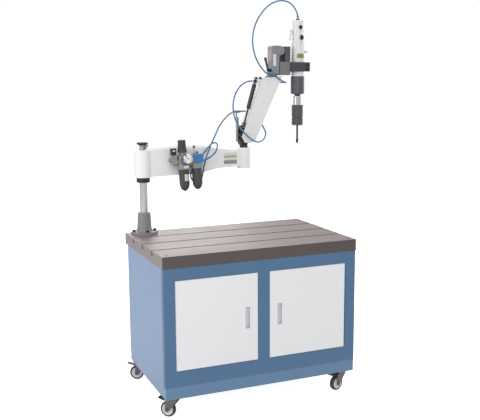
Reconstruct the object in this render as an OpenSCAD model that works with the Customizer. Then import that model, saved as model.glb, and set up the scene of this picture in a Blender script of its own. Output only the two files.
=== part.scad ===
// Pneumatic tapping arm on a castor bench with a slotted iron table.
// Millimetres, +Z up, front of the bench towards -Y. The origin is on the floor under the
// middle of the table.

/* [Bench table] */
// Length of the iron table, along X
table_l = 1000; // [940:10:1200]
// Depth of the iron table, along Y
table_d = 643; // [600:1:760]
// Height of the table's working face above the floor
table_h = 780; // [740:5:860]
// Thickness of the table at its rim
table_t = 57; // [50:1:80]
// Number of T-slots
slot_n = 3; // [1:1:3]
// Distance from one T-slot to the next
slot_pitch = 160; // [130:5:170]
// Width of a T-slot's neck
slot_w = 14; // [10:1:18]
// Depth of a T-slot's neck
slot_neck = 14; // [10:1:18]
// Width of a T-slot's undercut
tee_w = 25; // [20:1:32]
// Height of a T-slot's undercut
tee_h = 11; // [8:1:14]
// Depth of the pockets under the table
pocket_h = 20; // [10:1:24]

/* [Cabinet] */
// How far the table stands over the cabinet at each side
over_side = 3; // [0:1:20]
// How far the table stands over the cabinet at the back
over_back = 32.5; // [0:0.5:40]
// Height of the cabinet's bottom edge above the floor
cab_z = 102; // [95:1:140]
// Thickness of the sheet steel
sheet = 2; // [1.5:0.5:3]
// Height of the plinth under the cabinet
plinth_h = 58; // [40:1:80]
// Width of the outer stiles beside the doors
stile_w = 54; // [40:1:80]
// Width of the post between the doors
post_w = 60; // [40:1:90]
// Height of the rail above the doors
head_rail = 58; // [45:1:80]
// Height of the rail under the doors
sill_rail = 75; // [50:1:100]
// Depth of the front frame's tubes
frame_d = 30; // [24:1:40]
// Thickness of a door
door_t = 18; // [14:1:22]
// Gap round a door
door_gap = 1.5; // [1:0.5:3]
// Radius of a door's hinge pin
door_pin_r = 3; // [2:0.5:4]
// Height of a door's recessed pull
pull_h = 130; // [90:1:160]
// Width of a door's recessed pull
pull_w = 40; // [30:1:50]
// Distance from a door's inner edge to the middle of its pull
pull_in = 52; // [40:1:80]

/* [Castors] */
// Distance of the castors from the cabinet's sides
castor_in_x = 52; // [46:1:90]
// Distance of the castors from the cabinet's front and back
castor_in_y = 40; // [36:1:80]
// Radius of a castor wheel
wheel_r = 37.5; // [34:0.5:42]
// Width of a castor wheel
wheel_w = 24; // [20:1:30]
// Trail of a castor: how far its wheel lies behind the swivel
trail = 30; // [24:1:34]
// Reach of a brake pedal from the swivel
pedal_r = 79.7; // [76:0.1:110]
// Radius of a castor's axle bolt
axle_r = 4; // [3:0.5:5]
// Radius of a castor's king pin
king_r = 6; // [5:0.5:8]

/* [Column] */
// Distance of the column from the table's left end
col_side = 85; // [70:1:160]
// Distance of the column from the table's back edge
col_back = 69.5; // [69.5:0.5:90]
// Radius of the column
col_r = 20; // [16:0.5:24]
// Height of the column above the table
col_h = 428; // [400:1:460]
// Radius of the column's base flange
flange_r = 68; // [62:1:69]
// Thickness of the base flange
flange_t = 15; // [12:1:20]
// Radius of the circle of the flange's bolts
flange_bolt_r = 55; // [50:1:58]
// Height of the cone on the flange
cone_h = 97; // [80:1:110]
// Height of the support collar's underside above the table
collar_z = 267; // [200:1:280]
// Thickness of the support collar
collar_t = 24; // [18:1:30]
// Radius of the support collar
collar_r = 34.5; // [30:0.5:38]

/* [Lower arm] */
// Distance from the column to the elbow
arm_l = 556; // [520:1:640]
// Width of the arm's box
arm_w = 70; // [62:1:80]
// Wall of the casting
arm_wall = 8; // [6:1:10]
// Radius of the boss round the column
boss_r = 46; // [42:1:52]
// Height of the boss round the column
boss_h = 139; // [120:1:160]
// Height of the domed ridge above the boss's underside
ridge_h = 165; // [160:1:185]
// Radius of the elbow boss
elbow_r = 36; // [32:1:40]
// Height of the elbow boss
elbow_h = 109; // [95:1:120]
// Height of the elbow boss's underside above the column boss's underside
elbow_up = 22; // [20:1:36]
// Radius of the elbow's shaft
shaft_r = 15; // [12:0.5:18]
// Thickness of the bushes round the column
bush_t = 4; // [3:0.5:6]

/* [Air unit] */
// Distance of the regulator's axis from the column, along X
air_x = 188; // [170:1:220]
// Distance of the air unit's axis in front of the arm's middle
air_y = 87; // [82:1:100]
// Lean of the air unit, in degrees
air_lean = 3.5; // [0:0.5:6]
// Distance from the regulator to the lubricator
air_pitch = 70; // [66:1:80]
// Radius of the bowls
bowl_r = 26.5; // [24:0.5:29]
// Length of the bowls
bowl_l = 104; // [80:1:120]
// Radius of the regulator's knob
reg_knob_r = 21; // [16:0.5:24]
// Radius of the pressure gauge
gauge_r = 24.5; // [20:0.5:27]

/* [Upper arm] */
// Distance between the upper arm's pivots
link_l = 300; // [290:1:340]
// Direction of the line of pivots above level, in degrees
pivot_tilt = 66; // [64:0.5:68]
// Width of the upper arm's box
box_w = 70; // [66:1:80]
// Wall of the upper arm's box
box_wall = 4; // [3:0.5:5]
// Radius of the main pivot pins
main_pin_r = 6; // [5:0.5:7]
// Radius of the parallel link's pins
link_pin_r = 5; // [4:0.5:5.5]
// Radius of the gas spring's cylinder
gas_r = 11; // [9:0.5:12]
// Radius of the gas spring's rod
gas_rod_r = 4.5; // [3.5:0.5:5]
// Length of the gas spring's cylinder
gas_cyl_l = 150; // [140:1:160]

/* [Head and tool] */
// Distance from the head's tilt pivot to the tool's axis
tool_out = 115; // [112:1:130]
// Height of the tilt pivot above the tool's clamp's middle
tilt_up = 85; // [80:1:95]
// Radius of the motor's grip body
grip_r = 31; // [28:0.5:34]
// Radius of the motor's lower body
body_r = 35.5; // [34:0.5:38]
// Radius of the gearbox
gear_r = 37; // [36:0.5:39]
// Radius of the chuck
chuck_r = 30.5; // [27:0.5:33]
// Radius of the tap's shank
tap_r = 5; // [3:0.5:6]
// Length of the tap that stands out of the chuck
tap_l = 98; // [70:1:110]
// Height of the tool's clamp
clamp_h = 49; // [40:1:56]
// Height of the motor's top above the clamp's underside
motor_up = 270; // [250:5:300]
// Length of the motor's slim grip
grip_l = 111; // [100:1:130]
// Length of the gearbox
gear_h = 95; // [80:1:110]
// Travel of the two push buttons
button_travel = 3; // [2:0.5:4]

/* [Air hose] */
// Diameter of the air hose
hose_d = 8; // [6:0.5:10]

/* [Hidden] */

$fn = 64;
cut = 1;         // how far a cutting tool runs past the face that it cuts
run = 0.05;      // radial clearance of a running fit
gap = 0.3;       // clearance between pieces that move past each other

// bench
cab_l = table_l - 2 * over_side;
cab_d = table_d - 0.5 - over_back;
cab_front = -table_d / 2 + 0.5;
cab_mid = cab_front + cab_d / 2;
cab_top = table_h - table_t;
cab_h = cab_top - cab_z;
floor_z = cab_z + plinth_h;
door_z0 = floor_z + sill_rail;
door_z1 = cab_top - head_rail;
door_x0 = post_w / 2;
door_x1 = cab_l / 2 - stile_w;
door_front = cab_front + 1.5;
door_w = door_x1 - door_x0 - 2 * door_gap;
door_h = door_z1 - door_z0 - 2 * door_gap;
edge_r = 5;                       // rounded hinge edge of a door
hinge_x = door_x1 - door_gap - edge_r;
hinge_y = door_front + edge_r;
cup_w = pull_w - 17;              // opening of a pull's cup
cup_h = pull_h - 25;
cup_d = 12;
door_skin = 1.5;
door_mid = (door_z0 + door_z1) / 2;
pull_x = door_x0 + door_gap + pull_in;
screw_r = 5;
screw_head_r = 8;
jack_x = table_l / 2 - 28;
jack_y = table_d / 2 - 28;

// castors: [name, x, y, direction of the trail]
castor_x = cab_l / 2 - castor_in_x;
castor_y = cab_d / 2 - castor_in_y;
castors = [["fl", -castor_x, cab_mid - castor_y, 135], ["fr", castor_x, cab_mid - castor_y, 197],
    ["bl", -castor_x, cab_mid + castor_y, 157], ["br", castor_x, cab_mid + castor_y, 165]];
plate_t = 3;
fork_t = 2.5;
fork_in = wheel_w / 2 + 3;        // inner face of a fork's leg
crown_z = cab_z - plate_t - gap;
pedal_z = 85;                     // height of a pedal's pivot
pedal_x = 27;

// column and lower arm
cx = -table_l / 2 + col_side;
cy = table_d / 2 - col_back;
collar_bottom = table_h + collar_z;
boss_z = collar_bottom + collar_t + 2;
ex = cx + arm_l;
elbow_z = boss_z + elbow_up;
elbow_top = elbow_z + elbow_h;
crown_r = arm_w / 2 + 2;          // radius of the arm's domed top
ridge_z = boss_z + ridge_h;
crest_x = cx + 0.4 * arm_l;       // end of the arm's level ridge
knee_x = cx + 0.545 * arm_l;      // where the underside starts to rise
taper_x = cx + 0.69 * arm_l;      // where the arm starts to taper

// air unit, in its own upright frame: the regulator's axis is the Z axis
ax = cx + air_x;
ay = cy - air_y;
az = boss_z + 41;                 // underside of the air unit's bodies
body_w = 50;
body_h = 69;
valve_x = -48;

// upper arm: the box's own frame starts at the middle of its lower end
box_tilt = 65;
box_x = ex + 20;
box_z = elbow_top + 59;
p1 = [box_x - 8, box_z + 23];
link_v = [34.6, -20];
p2 = p1 + link_v;
q1 = p1 + link_l * [cos(pivot_tilt), sin(pivot_tilt)];
q2 = q1 + link_v;
end_lo = [0, 39.5, -40];          // lower end: distance along the box, left half, right half
end_left = [link_l + 13, 55.4];
end_right = [link_l + 62, -41.5];
foot_z = elbow_top + gap;
foot_t = 14;
foot_r = 22;
nut_r = 24;
nut_t = 11;
ear_in = 8;
ear_out = 16;
gas_y = cy - 24;
g1 = p1 + [-23, 25];
g2 = up(end_left[0] - 34.6, end_left[1] + 31.4);
gas_dir = (g1 - g2) / norm(g1 - g2);
gas_tilt = atan2(gas_dir[0], gas_dir[1]);

// head and tool
hx = q1[0] + 21;                  // left face of the housing
hz = q1[1] + 29;                  // underside of the housing
head_w = 60;
head_h = 147;
tilt = [hx + 49, hz + 121];
tx = tilt[0] + tool_out;
clamp_z = tilt[1] - tilt_up - clamp_h / 2;
tool_top = clamp_z + motor_up;
step_z = tool_top - grip_l;          // step between the grip and the lower body
gear_top = clamp_z - 25;
neck_h = 11;
sleeve_h = 47;
sleeve_r = 25.5;
chuck_top = gear_top - gear_h - neck_h - sleeve_h;
chuck_h = 110;
tap_top = chuck_top - chuck_h;
block_x0 = tilt[0] - 3;
block_x1 = tx - body_r - 20;
lever_pos = [hx - 22, cy - 12, hz + 19];
trig_z = tool_top - 0.48 * grip_l;
buttons = [[10.5, tool_top - 0.34 * grip_l, -90], [13, tool_top - 0.82 * grip_l, -78]];
muffler_z = step_z - 54;
trig_x = tx - grip_r - 5;

// fittings that hold the ends of the hoses
union_l = 24;
air_outlet = air_at([air_pitch + body_w / 2 + 8, 0, 34]);
post_union = [ex - 33, cy + 32, elbow_top + 188];
boom_union = [g2[0] + 14, cy + box_w / 2 + 7, g2[1]];
head_union = [q1[0] - 13, cy - head_w / 2 - 17, hz + 1];
tool_inlet = [tx, cy, tool_top + 16];
X = [1, 0, 0];
Z = [0, 0, 1];
right = (union_l + gap) * X;
air_right = [cos(air_lean), 0, sin(air_lean)];

// hose routes, chosen by hand: points counted from the fitting at the hose's start, and the
// place of the fitting at its far end, counted the same way
feed_route = [
    [0, 0, 0], [15, -1, 2], [37, -8, 12], [57, -15, 30], [72, -17, 50], [80, -7, 74],
    [78, 13, 85], [67, 32, 80], [51, 42, 63], [33, 43, 42], [11, 43, 17], [-14, 43, -10],
    [-37, 42, -40], [-51, 40, -73], [-47, 38, -102], [-26, 35, -118], [-1, 32, -110],
    [9, 29, -83], [13, 25, -48], [22, 22, -8], [37, 24, 32], [59, 34, 74], [85, 49, 114],
    [125, 78, 167], [171, 102, 208], [207, 116, 229], [229, 119, 234]];
loop_route = [
    [0, 0, 0], [28, 4, 1], [63, 15, -6], [98, 20, -30], [126, 17, -60], [143, 2, -92],
    [144, -20, -122], [118, -50, -149], [74, -77, -160], [36, -89, -146], [6, -94, -124],
    [-24, -91, -92], [-48, -84, -57], [-61, -77, -20], [-65, -71, 18], [-61, -65, 55],
    [-47, -57, 91], [-24, -44, 121], [8, -25, 144], [46, -4, 157], [82, 10, 160]];
head_route = [
    [0, 0, 0], [16, -1, -8], [40, -1, -27], [68, 4, -41], [92, 21, -47], [101, 47, -48],
    [91, 75, -46], [60, 93, -42], [14, 96, -39], [-44, 89, -38]];
tool_route = [
    [0, 0, 0], [-20, -8, 9], [-41, -21, 24], [-62, -34, 43], [-82, -43, 69], [-98, -49, 102],
    [-108, -52, 143], [-108, -51, 186], [-98, -47, 228], [-80, -41, 266], [-56, -34, 299],
    [-26, -24, 329], [10, -13, 354], [50, -1, 370], [92, 12, 376], [132, 25, 370],
    [164, 36, 353], [186, 44, 329], [196, 46.6, 308], [198, 47, 296]];
feed_path = route(feed_route, air_outlet + gap * air_right, post_union - gap * X);
loop_path = route(loop_route, post_union + right, boom_union - gap * X);
head_path = route(head_route, head_union + right, boom_union + right);
tool_path = route(tool_route, head_union - gap * X, tool_inlet + gap * Z);

// ---- shapes used more than once ----

module at(p) translate(p) children();

// a round bar along Y, centred on a point of the XZ plane
module ybar(p, y, r, len) translate([p[0], y, p[1]]) rotate([90, 0, 0])
    cylinder(r = r, h = len, center = true);

// a flat outline of the XZ plane, given thickness along Y from y0 to y1
module slab(y0, y1) translate([0, y1, 0]) rotate([90, 0, 0])
    linear_extrude(height = y1 - y0) children();

// a rectangle with round corners, centred
module rrect(w, h, r) {
    square([w - 2 * r, h], center = true);
    square([w, h - 2 * r], center = true);
    for (x = [-1, 1], y = [-1, 1]) translate([x * (w / 2 - r), y * (h / 2 - r)]) circle(r);
}

// a square tube along Z with its corner at the origin
module tube_z(w, d, h) difference() {
    cube([w, d, h]);
    translate([sheet, sheet, -cut]) cube([w - 2 * sheet, d - 2 * sheet, h + 2 * cut]);
}

module tube_x(len, d, h) difference() {
    cube([len, d, h]);
    translate([-cut, sheet, sheet]) cube([len + 2 * cut, d - 2 * sheet, h - 2 * sheet]);
}

module tube_y(len, w, h) difference() {
    cube([w, len, h]);
    translate([sheet, -cut, sheet]) cube([w - 2 * sheet, len + 2 * cut, h - 2 * sheet]);
}

// a socket cap screw: its head stands on z = 0, its shank hangs below
module cap_screw(r, len) difference() {
    union() {
        cylinder(r = r * 1.6, h = r * 1.9);
        translate([0, 0, -len]) cylinder(r = r, h = len);
    }
    translate([0, 0, r * 0.9]) cylinder(r = r * 0.9, h = r * 2, $fn = 6);
}

// a place of the leaning air unit, in the bench's frame
function air_at(p) = [ax + p[0] * cos(air_lean) - p[2] * sin(air_lean), ay + p[1],
    az + p[0] * sin(air_lean) + p[2] * cos(air_lean)];
// a route laid from fitting a to fitting b: what its end is off by is shared out along it
function route(p, a, b) = let(m = len(p) - 1, off = b - a - p[m])
    [for (i = [0:m]) a + p[i] + off * i / m];

function unit(v) = v / norm(v);
// direction of a route at point i; at its ends it is square to the fittings
function heading(p, e, i) = i == 0 ? e[0] : i == len(p) - 1 ? e[1] : unit(p[i + 1] - p[i - 1]);
// a level direction square to the heading
function side(h) = abs(h[2]) > 0.999 ? [0, 1, 0] : unit(cross([0, 0, 1], h));
// the side direction carried along the route, so that the tube doesn't twist
function carried(p, e, i) = i == 0 ? side(e[0])
    : let(h = heading(p, e, i), s = carried(p, e, i - 1)) unit(s - (s * h) * h);
function ring(p, e, i, n) = let(h = heading(p, e, i), s = carried(p, e, i), u = cross(h, s))
    [for (k = [0:n - 1]) p[i] + hose_d / 2 * (cos(360 * k / n) * s + sin(360 * k / n) * u)];

// a round tube swept along a route, one ring of corners at each of its points; its directions
// at the two ends are e
module hose(p, e, n = 8) {
    m = len(p);
    points = [for (i = [0:m - 1]) each ring(p, e, i, n)];
    sides = [for (i = [0:m - 2], k = [0:n - 1]) let(a = i * n + k, b = i * n + (k + 1) % n)
        each [[a, a + n, b + n], [a, b + n, b]]];
    ends = [for (k = [1:n - 2]) each [[0, k, k + 1], [(m - 1) * n, (m - 1) * n + k + 1, (m - 1) * n + k]]];
    polyhedron(points = points, faces = concat(sides, ends), convexity = 6);
}

// ---- bench ----

module cabinet_shell() color("lightsteelblue") {
    back = cab_front + cab_d;
    x0 = -cab_l / 2;
    // side and back sheets, and the cabinet's floor
    for (x = [x0, -x0 - sheet]) at([x, cab_front + frame_d, floor_z])
        cube([sheet, cab_d - frame_d, cab_top - floor_z]);
    at([x0 + sheet, back - sheet, floor_z]) cube([cab_l - 2 * sheet, sheet, cab_top - floor_z]);
    at([x0 + sheet, cab_front + frame_d, floor_z])
        cube([cab_l - 2 * sheet, cab_d - frame_d - sheet, sheet]);
    // rails under the table
    for (x = [x0 + sheet, -x0 - sheet - frame_d])
        at([x, cab_front + frame_d, cab_top - frame_d]) tube_y(cab_d - frame_d - sheet, frame_d, frame_d);
    at([x0 + sheet + frame_d, back - sheet - frame_d, cab_top - frame_d])
        tube_x(cab_l - 2 * (sheet + frame_d), frame_d, frame_d);
    // plinth walls, set in by a hair so that the seam shows
    inset = 1;
    for (x = [x0 + inset, -x0 - sheet - inset]) at([x, cab_front + inset, cab_z])
        cube([sheet, cab_d - 2 * inset, plinth_h]);
    for (y = [cab_front + inset, back - inset - sheet]) at([x0 + inset + sheet, y, cab_z])
        cube([cab_l - 2 * (inset + sheet), sheet, plinth_h]);
    // corner gussets that the castors bolt to
    for (c = castors) {
        x_lo = c[1] < 0 ? -cab_l / 2 + inset + sheet : cab_l / 2 - inset - sheet - 100;
        y_lo = c[2] < cab_mid ? cab_front + inset + sheet : back - inset - sheet - 100;
        at([x_lo, y_lo, cab_z]) cube([100, 100, 4]);
    }
}

module front_frame() color("steelblue") {
    for (x = [-cab_l / 2, cab_l / 2 - stile_w])
        at([x, cab_front, floor_z]) tube_z(stile_w, frame_d, cab_top - floor_z);
    at([-post_w / 2, cab_front, door_z0]) tube_z(post_w, frame_d, door_z1 - door_z0);
    rail_l = cab_l - 2 * stile_w;
    difference() {
        union() {
            at([-rail_l / 2, cab_front, door_z1]) tube_x(rail_l, frame_d, head_rail);
            at([-rail_l / 2, cab_front, floor_z]) tube_x(rail_l, frame_d, sill_rail);
        }
        for (x = [-hinge_x, hinge_x]) at([x, hinge_y, 0]) {
            at([0, 0, door_z0 - sheet - cut]) cylinder(r = door_pin_r, h = sheet + 2 * cut);
            at([0, 0, door_z1 - cut]) cylinder(r = door_pin_r, h = sheet + 2 * cut);
        }
    }
    // the doors' hinge pins, welded into the rails
    for (x = [-hinge_x, hinge_x], z = [door_z0 - sheet, door_z1 - 12 - door_gap])
        at([x, hinge_y, z]) cylinder(r = door_pin_r, h = sheet + door_gap + 12);
}

module table_top() color("rosybrown") difference() {
    at([-table_l / 2, -table_d / 2, cab_top]) cube([table_l, table_d, table_t]);
    for (i = [0:slot_n - 1]) at([0, (i - (slot_n - 1) / 2) * slot_pitch, table_h]) {
        at([-table_l / 2 - cut, -slot_w / 2, -slot_neck - cut])
            cube([table_l + 2 * cut, slot_w, slot_neck + 2 * cut]);
        at([-table_l / 2 - cut, -tee_w / 2, -slot_neck - tee_h])
            cube([table_l + 2 * cut, tee_w, tee_h]);
    }
    // pockets between the ribs of the underside
    bay_x = (table_l - 4 * 24 - 2 * 60) / 5;
    bay_y = (table_d - 2 * 24 - 2 * 60) / 3;
    for (i = [0:4], j = [0:2]) at([-table_l / 2 + 60 + i * (bay_x + 24),
        -table_d / 2 + 60 + j * (bay_y + 24), cab_top - cut]) cube([bay_x, bay_y, pocket_h + cut]);
    // holes of the corner jack screws and of the column's flange
    for (x = [-jack_x, jack_x], y = [-jack_y, jack_y]) at([x, y, table_h]) {
        at([0, 0, -12]) cylinder(r = 8, h = 12 + cut);
        at([0, 0, -30]) cylinder(r = screw_r, h = 30);
    }
    for (a = [0:90:270]) at([cx, cy, table_h - 26]) rotate(a) translate([flange_bolt_r, 0, 0])
        cylinder(r = screw_r, h = 26 + cut);
}

module bench_screws() color("dimgray") {
    for (x = [-jack_x, jack_x], y = [-jack_y, jack_y]) at([x, y, table_h - 12])
        cap_screw(screw_r, 18);
    for (a = [0:90:270]) at([cx, cy, table_h + flange_t]) rotate(a)
        translate([flange_bolt_r, 0, 0]) cap_screw(screw_r, flange_t + 26);
}

module column_base() color("dimgray") difference() {
    at([cx, cy, table_h]) rotate_extrude() polygon([[col_r, 0], [flange_r, 0],
        [flange_r, flange_t - 2], [flange_r - 2, flange_t], [46, flange_t], [40, flange_t + 4],
        [38, flange_t + 9], [32.5, flange_t + cone_h - 3], [29.5, flange_t + cone_h],
        [col_r, flange_t + cone_h]]);
    for (a = [0:90:270]) at([cx, cy, table_h - cut]) rotate(a) translate([flange_bolt_r, 0, 0])
        cylinder(r = screw_r, h = flange_t + 2 * cut);
}

module column() color("gainsboro") at([cx, cy, table_h]) difference() {
    cylinder(r = col_r, h = col_h);
    at([0, 0, col_h - 32]) cylinder(r = 6 + run, h = 32 + cut);
}

module castor_plates() color("silver") for (c = castors) at([c[1], c[2], 0]) {
    at([0, 0, cab_z - plate_t]) linear_extrude(height = plate_t) rrect(76, 62, 6);
    at([0, 0, pedal_z - 3]) cylinder(r = king_r, h = cab_z - plate_t - pedal_z + 3);
    at([0, 0, pedal_z - 7]) cylinder(r = king_r + 4, h = 4);
}

module door(side_x, name_x) {
    difference() {
        union() {
            at([min(side_x * (door_x0 + door_gap), side_x * hinge_x), door_front,
                door_z0 + door_gap]) cube([hinge_x - door_x0 - door_gap, door_t, door_h]);
            at([side_x * hinge_x, hinge_y, door_z0 + door_gap]) cylinder(r = edge_r, h = door_h);
            at([side_x > 0 ? hinge_x : -hinge_x - edge_r, hinge_y, door_z0 + door_gap])
                cube([edge_r, door_t - edge_r, door_h]);
        }
        // the pan's inside, open at the back
        pan_w = hinge_x - edge_r - 2 - door_x0 - door_gap - door_skin;
        at([side_x > 0 ? door_x0 + door_gap + door_skin : -hinge_x + edge_r + 2,
            door_front + door_skin, door_z0 + door_gap + door_skin])
            cube([pan_w, door_t, door_h - 2 * door_skin]);
        // bores of the hinge pins
        for (z = [door_z0 + door_gap - cut, door_z1 - door_gap - 13])
            at([side_x * hinge_x, hinge_y, z]) cylinder(r = door_pin_r + run, h = 13 + cut);
        // window of the recessed pull
        at([side_x * pull_x - cup_w / 2 - door_skin, door_front - cut, door_mid - cup_h / 2 - door_skin])
            cube([cup_w + 2 * door_skin, door_skin + 2 * cut, cup_h + 2 * door_skin]);
    }
}

module door_left() color("whitesmoke") door(-1);
module door_right() color("whitesmoke") door(1);

// a shallow cup with a flat frame round its mouth
module pull(side_x) at([side_x * pull_x, door_front, door_mid]) difference() {
    union() {
        translate([0, -1.2, 0]) rotate([-90, 0, 0]) linear_extrude(height = 1.2) rrect(pull_w, pull_h, 6);
        at([-cup_w / 2 - door_skin, 0, -cup_h / 2 - door_skin])
            cube([cup_w + 2 * door_skin, cup_d, cup_h + 2 * door_skin]);
    }
    at([-cup_w / 2, -1.2 - cut, -cup_h / 2]) cube([cup_w, cup_d + 1.2 + cut - door_skin, cup_h]);
}

module pull_left() color("silver") pull(-1);
module pull_right() color("silver") pull(1);

// ---- castors: drawn with the trail towards +X, then turned about the king pin ----

module place_castor(i) at([castors[i][1], castors[i][2], 0]) rotate(castors[i][3]) children();

module fork() {
    difference() {
        union() {
            // crown with its raceway
            at([0, 0, crown_z - 6]) cylinder(r = 27, h = 6);
            at([0, 0, crown_z - 12]) cylinder(r = 22, h = 6);
            // legs
            for (y = [-fork_in - fork_t, fork_in]) slab(y, y + fork_t) {
                polygon([[-20, crown_z - 6], [22, crown_z - 6], [pedal_x + 9, pedal_z - 4],
                    [trail + 9.5, wheel_r + 5], [trail - 9.5, wheel_r - 5], [-22, crown_z - 14]]);
                translate([trail, wheel_r]) circle(r = 11);
                translate([pedal_x, pedal_z]) circle(r = 8);
            }
            at([-20, -fork_in, crown_z - 12]) cube([40, 2 * fork_in, 6]);
        }
        at([0, 0, crown_z - 14]) cylinder(r = king_r + run, h = 20);
        at([0, 0, crown_z - 40]) cylinder(r = king_r + 4 + gap, h = 40 - 9);
        ybar([trail, wheel_r], 0, axle_r, 60);
        ybar([pedal_x, pedal_z], 0, 3 + run, 60);
    }
    // axle bolt with its head and nut
    difference() {
        union() {
            ybar([trail, wheel_r], 0, axle_r, 2 * (fork_in + fork_t));
            ybar([trail, wheel_r], fork_in + fork_t + 2.5, 7.5, 5, $fn = 6);
            ybar([trail, wheel_r], -fork_in - fork_t - 2.5, 7.5, 5, $fn = 6);
        }
    }
}

module wheel() at([trail, 0, wheel_r]) rotate([90, 0, 0]) {
    half = wheel_w / 2;
    rim_r = wheel_r - 10;
    // tyre with a crowned tread
    rotate_extrude() polygon([[rim_r, -half + 1], [wheel_r - 4, -half], [wheel_r - 1, -half + 3],
        [wheel_r, -half + 7], [wheel_r, half - 7], [wheel_r - 1, half - 3], [wheel_r - 4, half],
        [rim_r, half - 1]]);
    // dished centre
    rotate_extrude() polygon([[axle_r + run, -half - 2], [10, -half - 2], [11, -4], [rim_r - 6, -4],
        [rim_r - 4, -half + 1], [rim_r, -half + 1], [rim_r, half - 1], [rim_r - 4, half - 1],
        [rim_r - 6, 4], [11, 4], [10, half + 2], [axle_r + run, half + 2]]);
}

module pedal() {
    slab(-12, 12) polygon([[pedal_x - 3, pedal_z - 4.5], [pedal_x + 6, pedal_z - 5.5],
        [pedal_x + 22, pedal_z - 6], [pedal_r - 4, pedal_z + 2], [pedal_r, pedal_z + 6],
        [pedal_r - 3, pedal_z + 8], [pedal_x + 24, pedal_z + 1], [pedal_x + 4, pedal_z + 4],
        [pedal_x - 3, pedal_z + 3]]);
    ybar([pedal_x, pedal_z], 0, 3, 2 * (fork_in + fork_t) + 3);
}

module castor_fork(i) color("silver") place_castor(i) fork();
module castor_wheel(i) color("dimgray") place_castor(i) wheel();
module brake_pedal(i) color("#333333") place_castor(i) pedal();

// ---- column ----

module column_collar() color("silver") at([cx, cy, collar_bottom]) {
    difference() {
        rotate_extrude() polygon([[col_r + run, 0], [collar_r - 1.5, 0], [collar_r, 1.5],
            [collar_r, collar_t - 1.5], [collar_r - 1.5, collar_t], [col_r + run, collar_t]]);
        at([0, 0, collar_t / 2]) rotate([90, 0, 0]) cylinder(r = 4, h = 60);
    }
    // clamping screw, facing the front
    at([0, -col_r - gap, collar_t / 2]) rotate([90, 0, 0]) difference() {
        union() {
            cylinder(r = 4, h = collar_r - col_r + 2);
            at([0, 0, collar_r - col_r + 1]) cylinder(r = 6.5, h = 7);
        }
        at([0, 0, collar_r - col_r + 4]) cylinder(r = 3.5, h = 8, $fn = 6);
    }
}

module top_knob() color("#333333") at([cx, cy, boss_z + boss_h + gap]) {
    at([0, 0, -30]) cylinder(r = 6, h = 30);
    rotate_extrude() polygon([[0, 0], [20, 0], [19, 3], [15.5, 8], [15, 16], [17, 23], [26, 28],
        [28.5, 31], [28.5, 35], [26, 38], [0, 40]]);
}

// ---- lower arm ----

// outline of the arm seen from above, from the column to the elbow
module arm_plan(wall) {
    narrow = arm_w / 2 - 7.5 - wall;
    wide = arm_w / 2 - wall;
    polygon([[cx, -wide], [taper_x, -wide], [ex - 46, -narrow], [ex, -narrow], [ex, narrow],
        [ex - 46, narrow], [taper_x, wide], [cx, wide]]);
}

// the arm's box with its domed top: sunk makes the form that hollows it out
module arm_form(wall, sunk) intersection() {
    slab(cy - arm_w, cy + arm_w) polygon([[cx, boss_z + 2 - sunk], [knee_x, boss_z + 8 - sunk],
        [taper_x, boss_z + 28 - sunk], [ex - 46, boss_z + 34 - sunk], [ex, boss_z + 37 - sunk],
        [ex, boss_z + 117 - wall], [ex - 46, boss_z + 122 - wall], [taper_x, boss_z + 135 - wall],
        [knee_x, ridge_z - 6 - wall], [crest_x, ridge_z + 2 - wall], [cx + 60, ridge_z + 2 - wall],
        [cx + 26, ridge_z - 2 - wall], [cx + 18, ridge_z - 14 - wall], [cx, ridge_z - 26 - wall]]);
    at([0, cy, 0]) linear_extrude(height = 2 * ridge_z) arm_plan(wall);
    at([cx - cut, cy, 0]) rotate([90, 0, 90]) linear_extrude(height = arm_l + 2 * cut) {
        translate([0, ridge_z - crown_r]) circle(r = crown_r - wall);
        translate([-arm_w / 2 + wall, 0]) square([arm_w - 2 * wall, ridge_z - crown_r]);
    }
}

module lower_arm() color("white") difference() {
    union() {
        at([cx, cy, boss_z]) cylinder(r = boss_r, h = boss_h);
        at([ex, cy, elbow_z]) cylinder(r = elbow_r, h = elbow_h);
        difference() {
            arm_form(0, 0);
            at([cx, cy, boss_z + boss_h]) cylinder(r = boss_r - 15, h = 60);
        }
    }
    // hollow underside, with two ribs left standing across it
    bays = [[cx + boss_r + 6, crest_x], [crest_x + 8, taper_x - 8], [taper_x, ex - elbow_r - 8]];
    for (b = bays) intersection() {
        arm_form(arm_wall, 60);
        at([b[0], cy - arm_w, boss_z - 60]) cube([b[1] - b[0], 2 * arm_w, 300]);
    }
    at([cx, cy, boss_z - cut]) cylinder(r = col_r + bush_t, h = boss_h + 2 * cut);
    at([ex, cy, elbow_z - cut]) cylinder(r = shaft_r + run, h = elbow_h + 2 * cut);
    at([ex, cy, elbow_z - cut]) cylinder(r = nut_r + 1, h = nut_t + gap + cut);
}

module arm_bushes() color("darkgoldenrod") at([cx, cy, boss_z]) {
    rotate_extrude() polygon([[col_r + run, -2 + gap], [col_r + 10, -2 + gap], [col_r + 10, 0],
        [col_r + bush_t, 0], [col_r + bush_t, 30], [col_r + run, 30]]);
    at([0, 0, boss_h - 30]) difference() {
        cylinder(r = col_r + bush_t, h = 30);
        at([0, 0, -cut]) cylinder(r = col_r + run, h = 30 + 2 * cut);
    }
}

// ---- air unit ----

module air_place() at([ax, ay, az]) rotate([0, -air_lean, 0]) children();

module air_bracket() color("#444444") {
    // plate on the arm's face and the arm that carries the unit
    at([ax - 38, cy - arm_w / 2 - 4, az + 14]) cube([112, 4, 46]);
    air_place() {
        at([air_pitch / 2 - 22, body_w / 2, 22]) cube([44, 6, 30]);
        at([air_pitch / 2 - 9, body_w / 2, 22]) cube([18, air_y - body_w / 2 - arm_w / 2 - 6, 30]);
    }
    at([ax + air_pitch / 2 - 11, cy - arm_w / 2 - 12, az + 24]) cube([20, 8, 28]);
}

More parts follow.
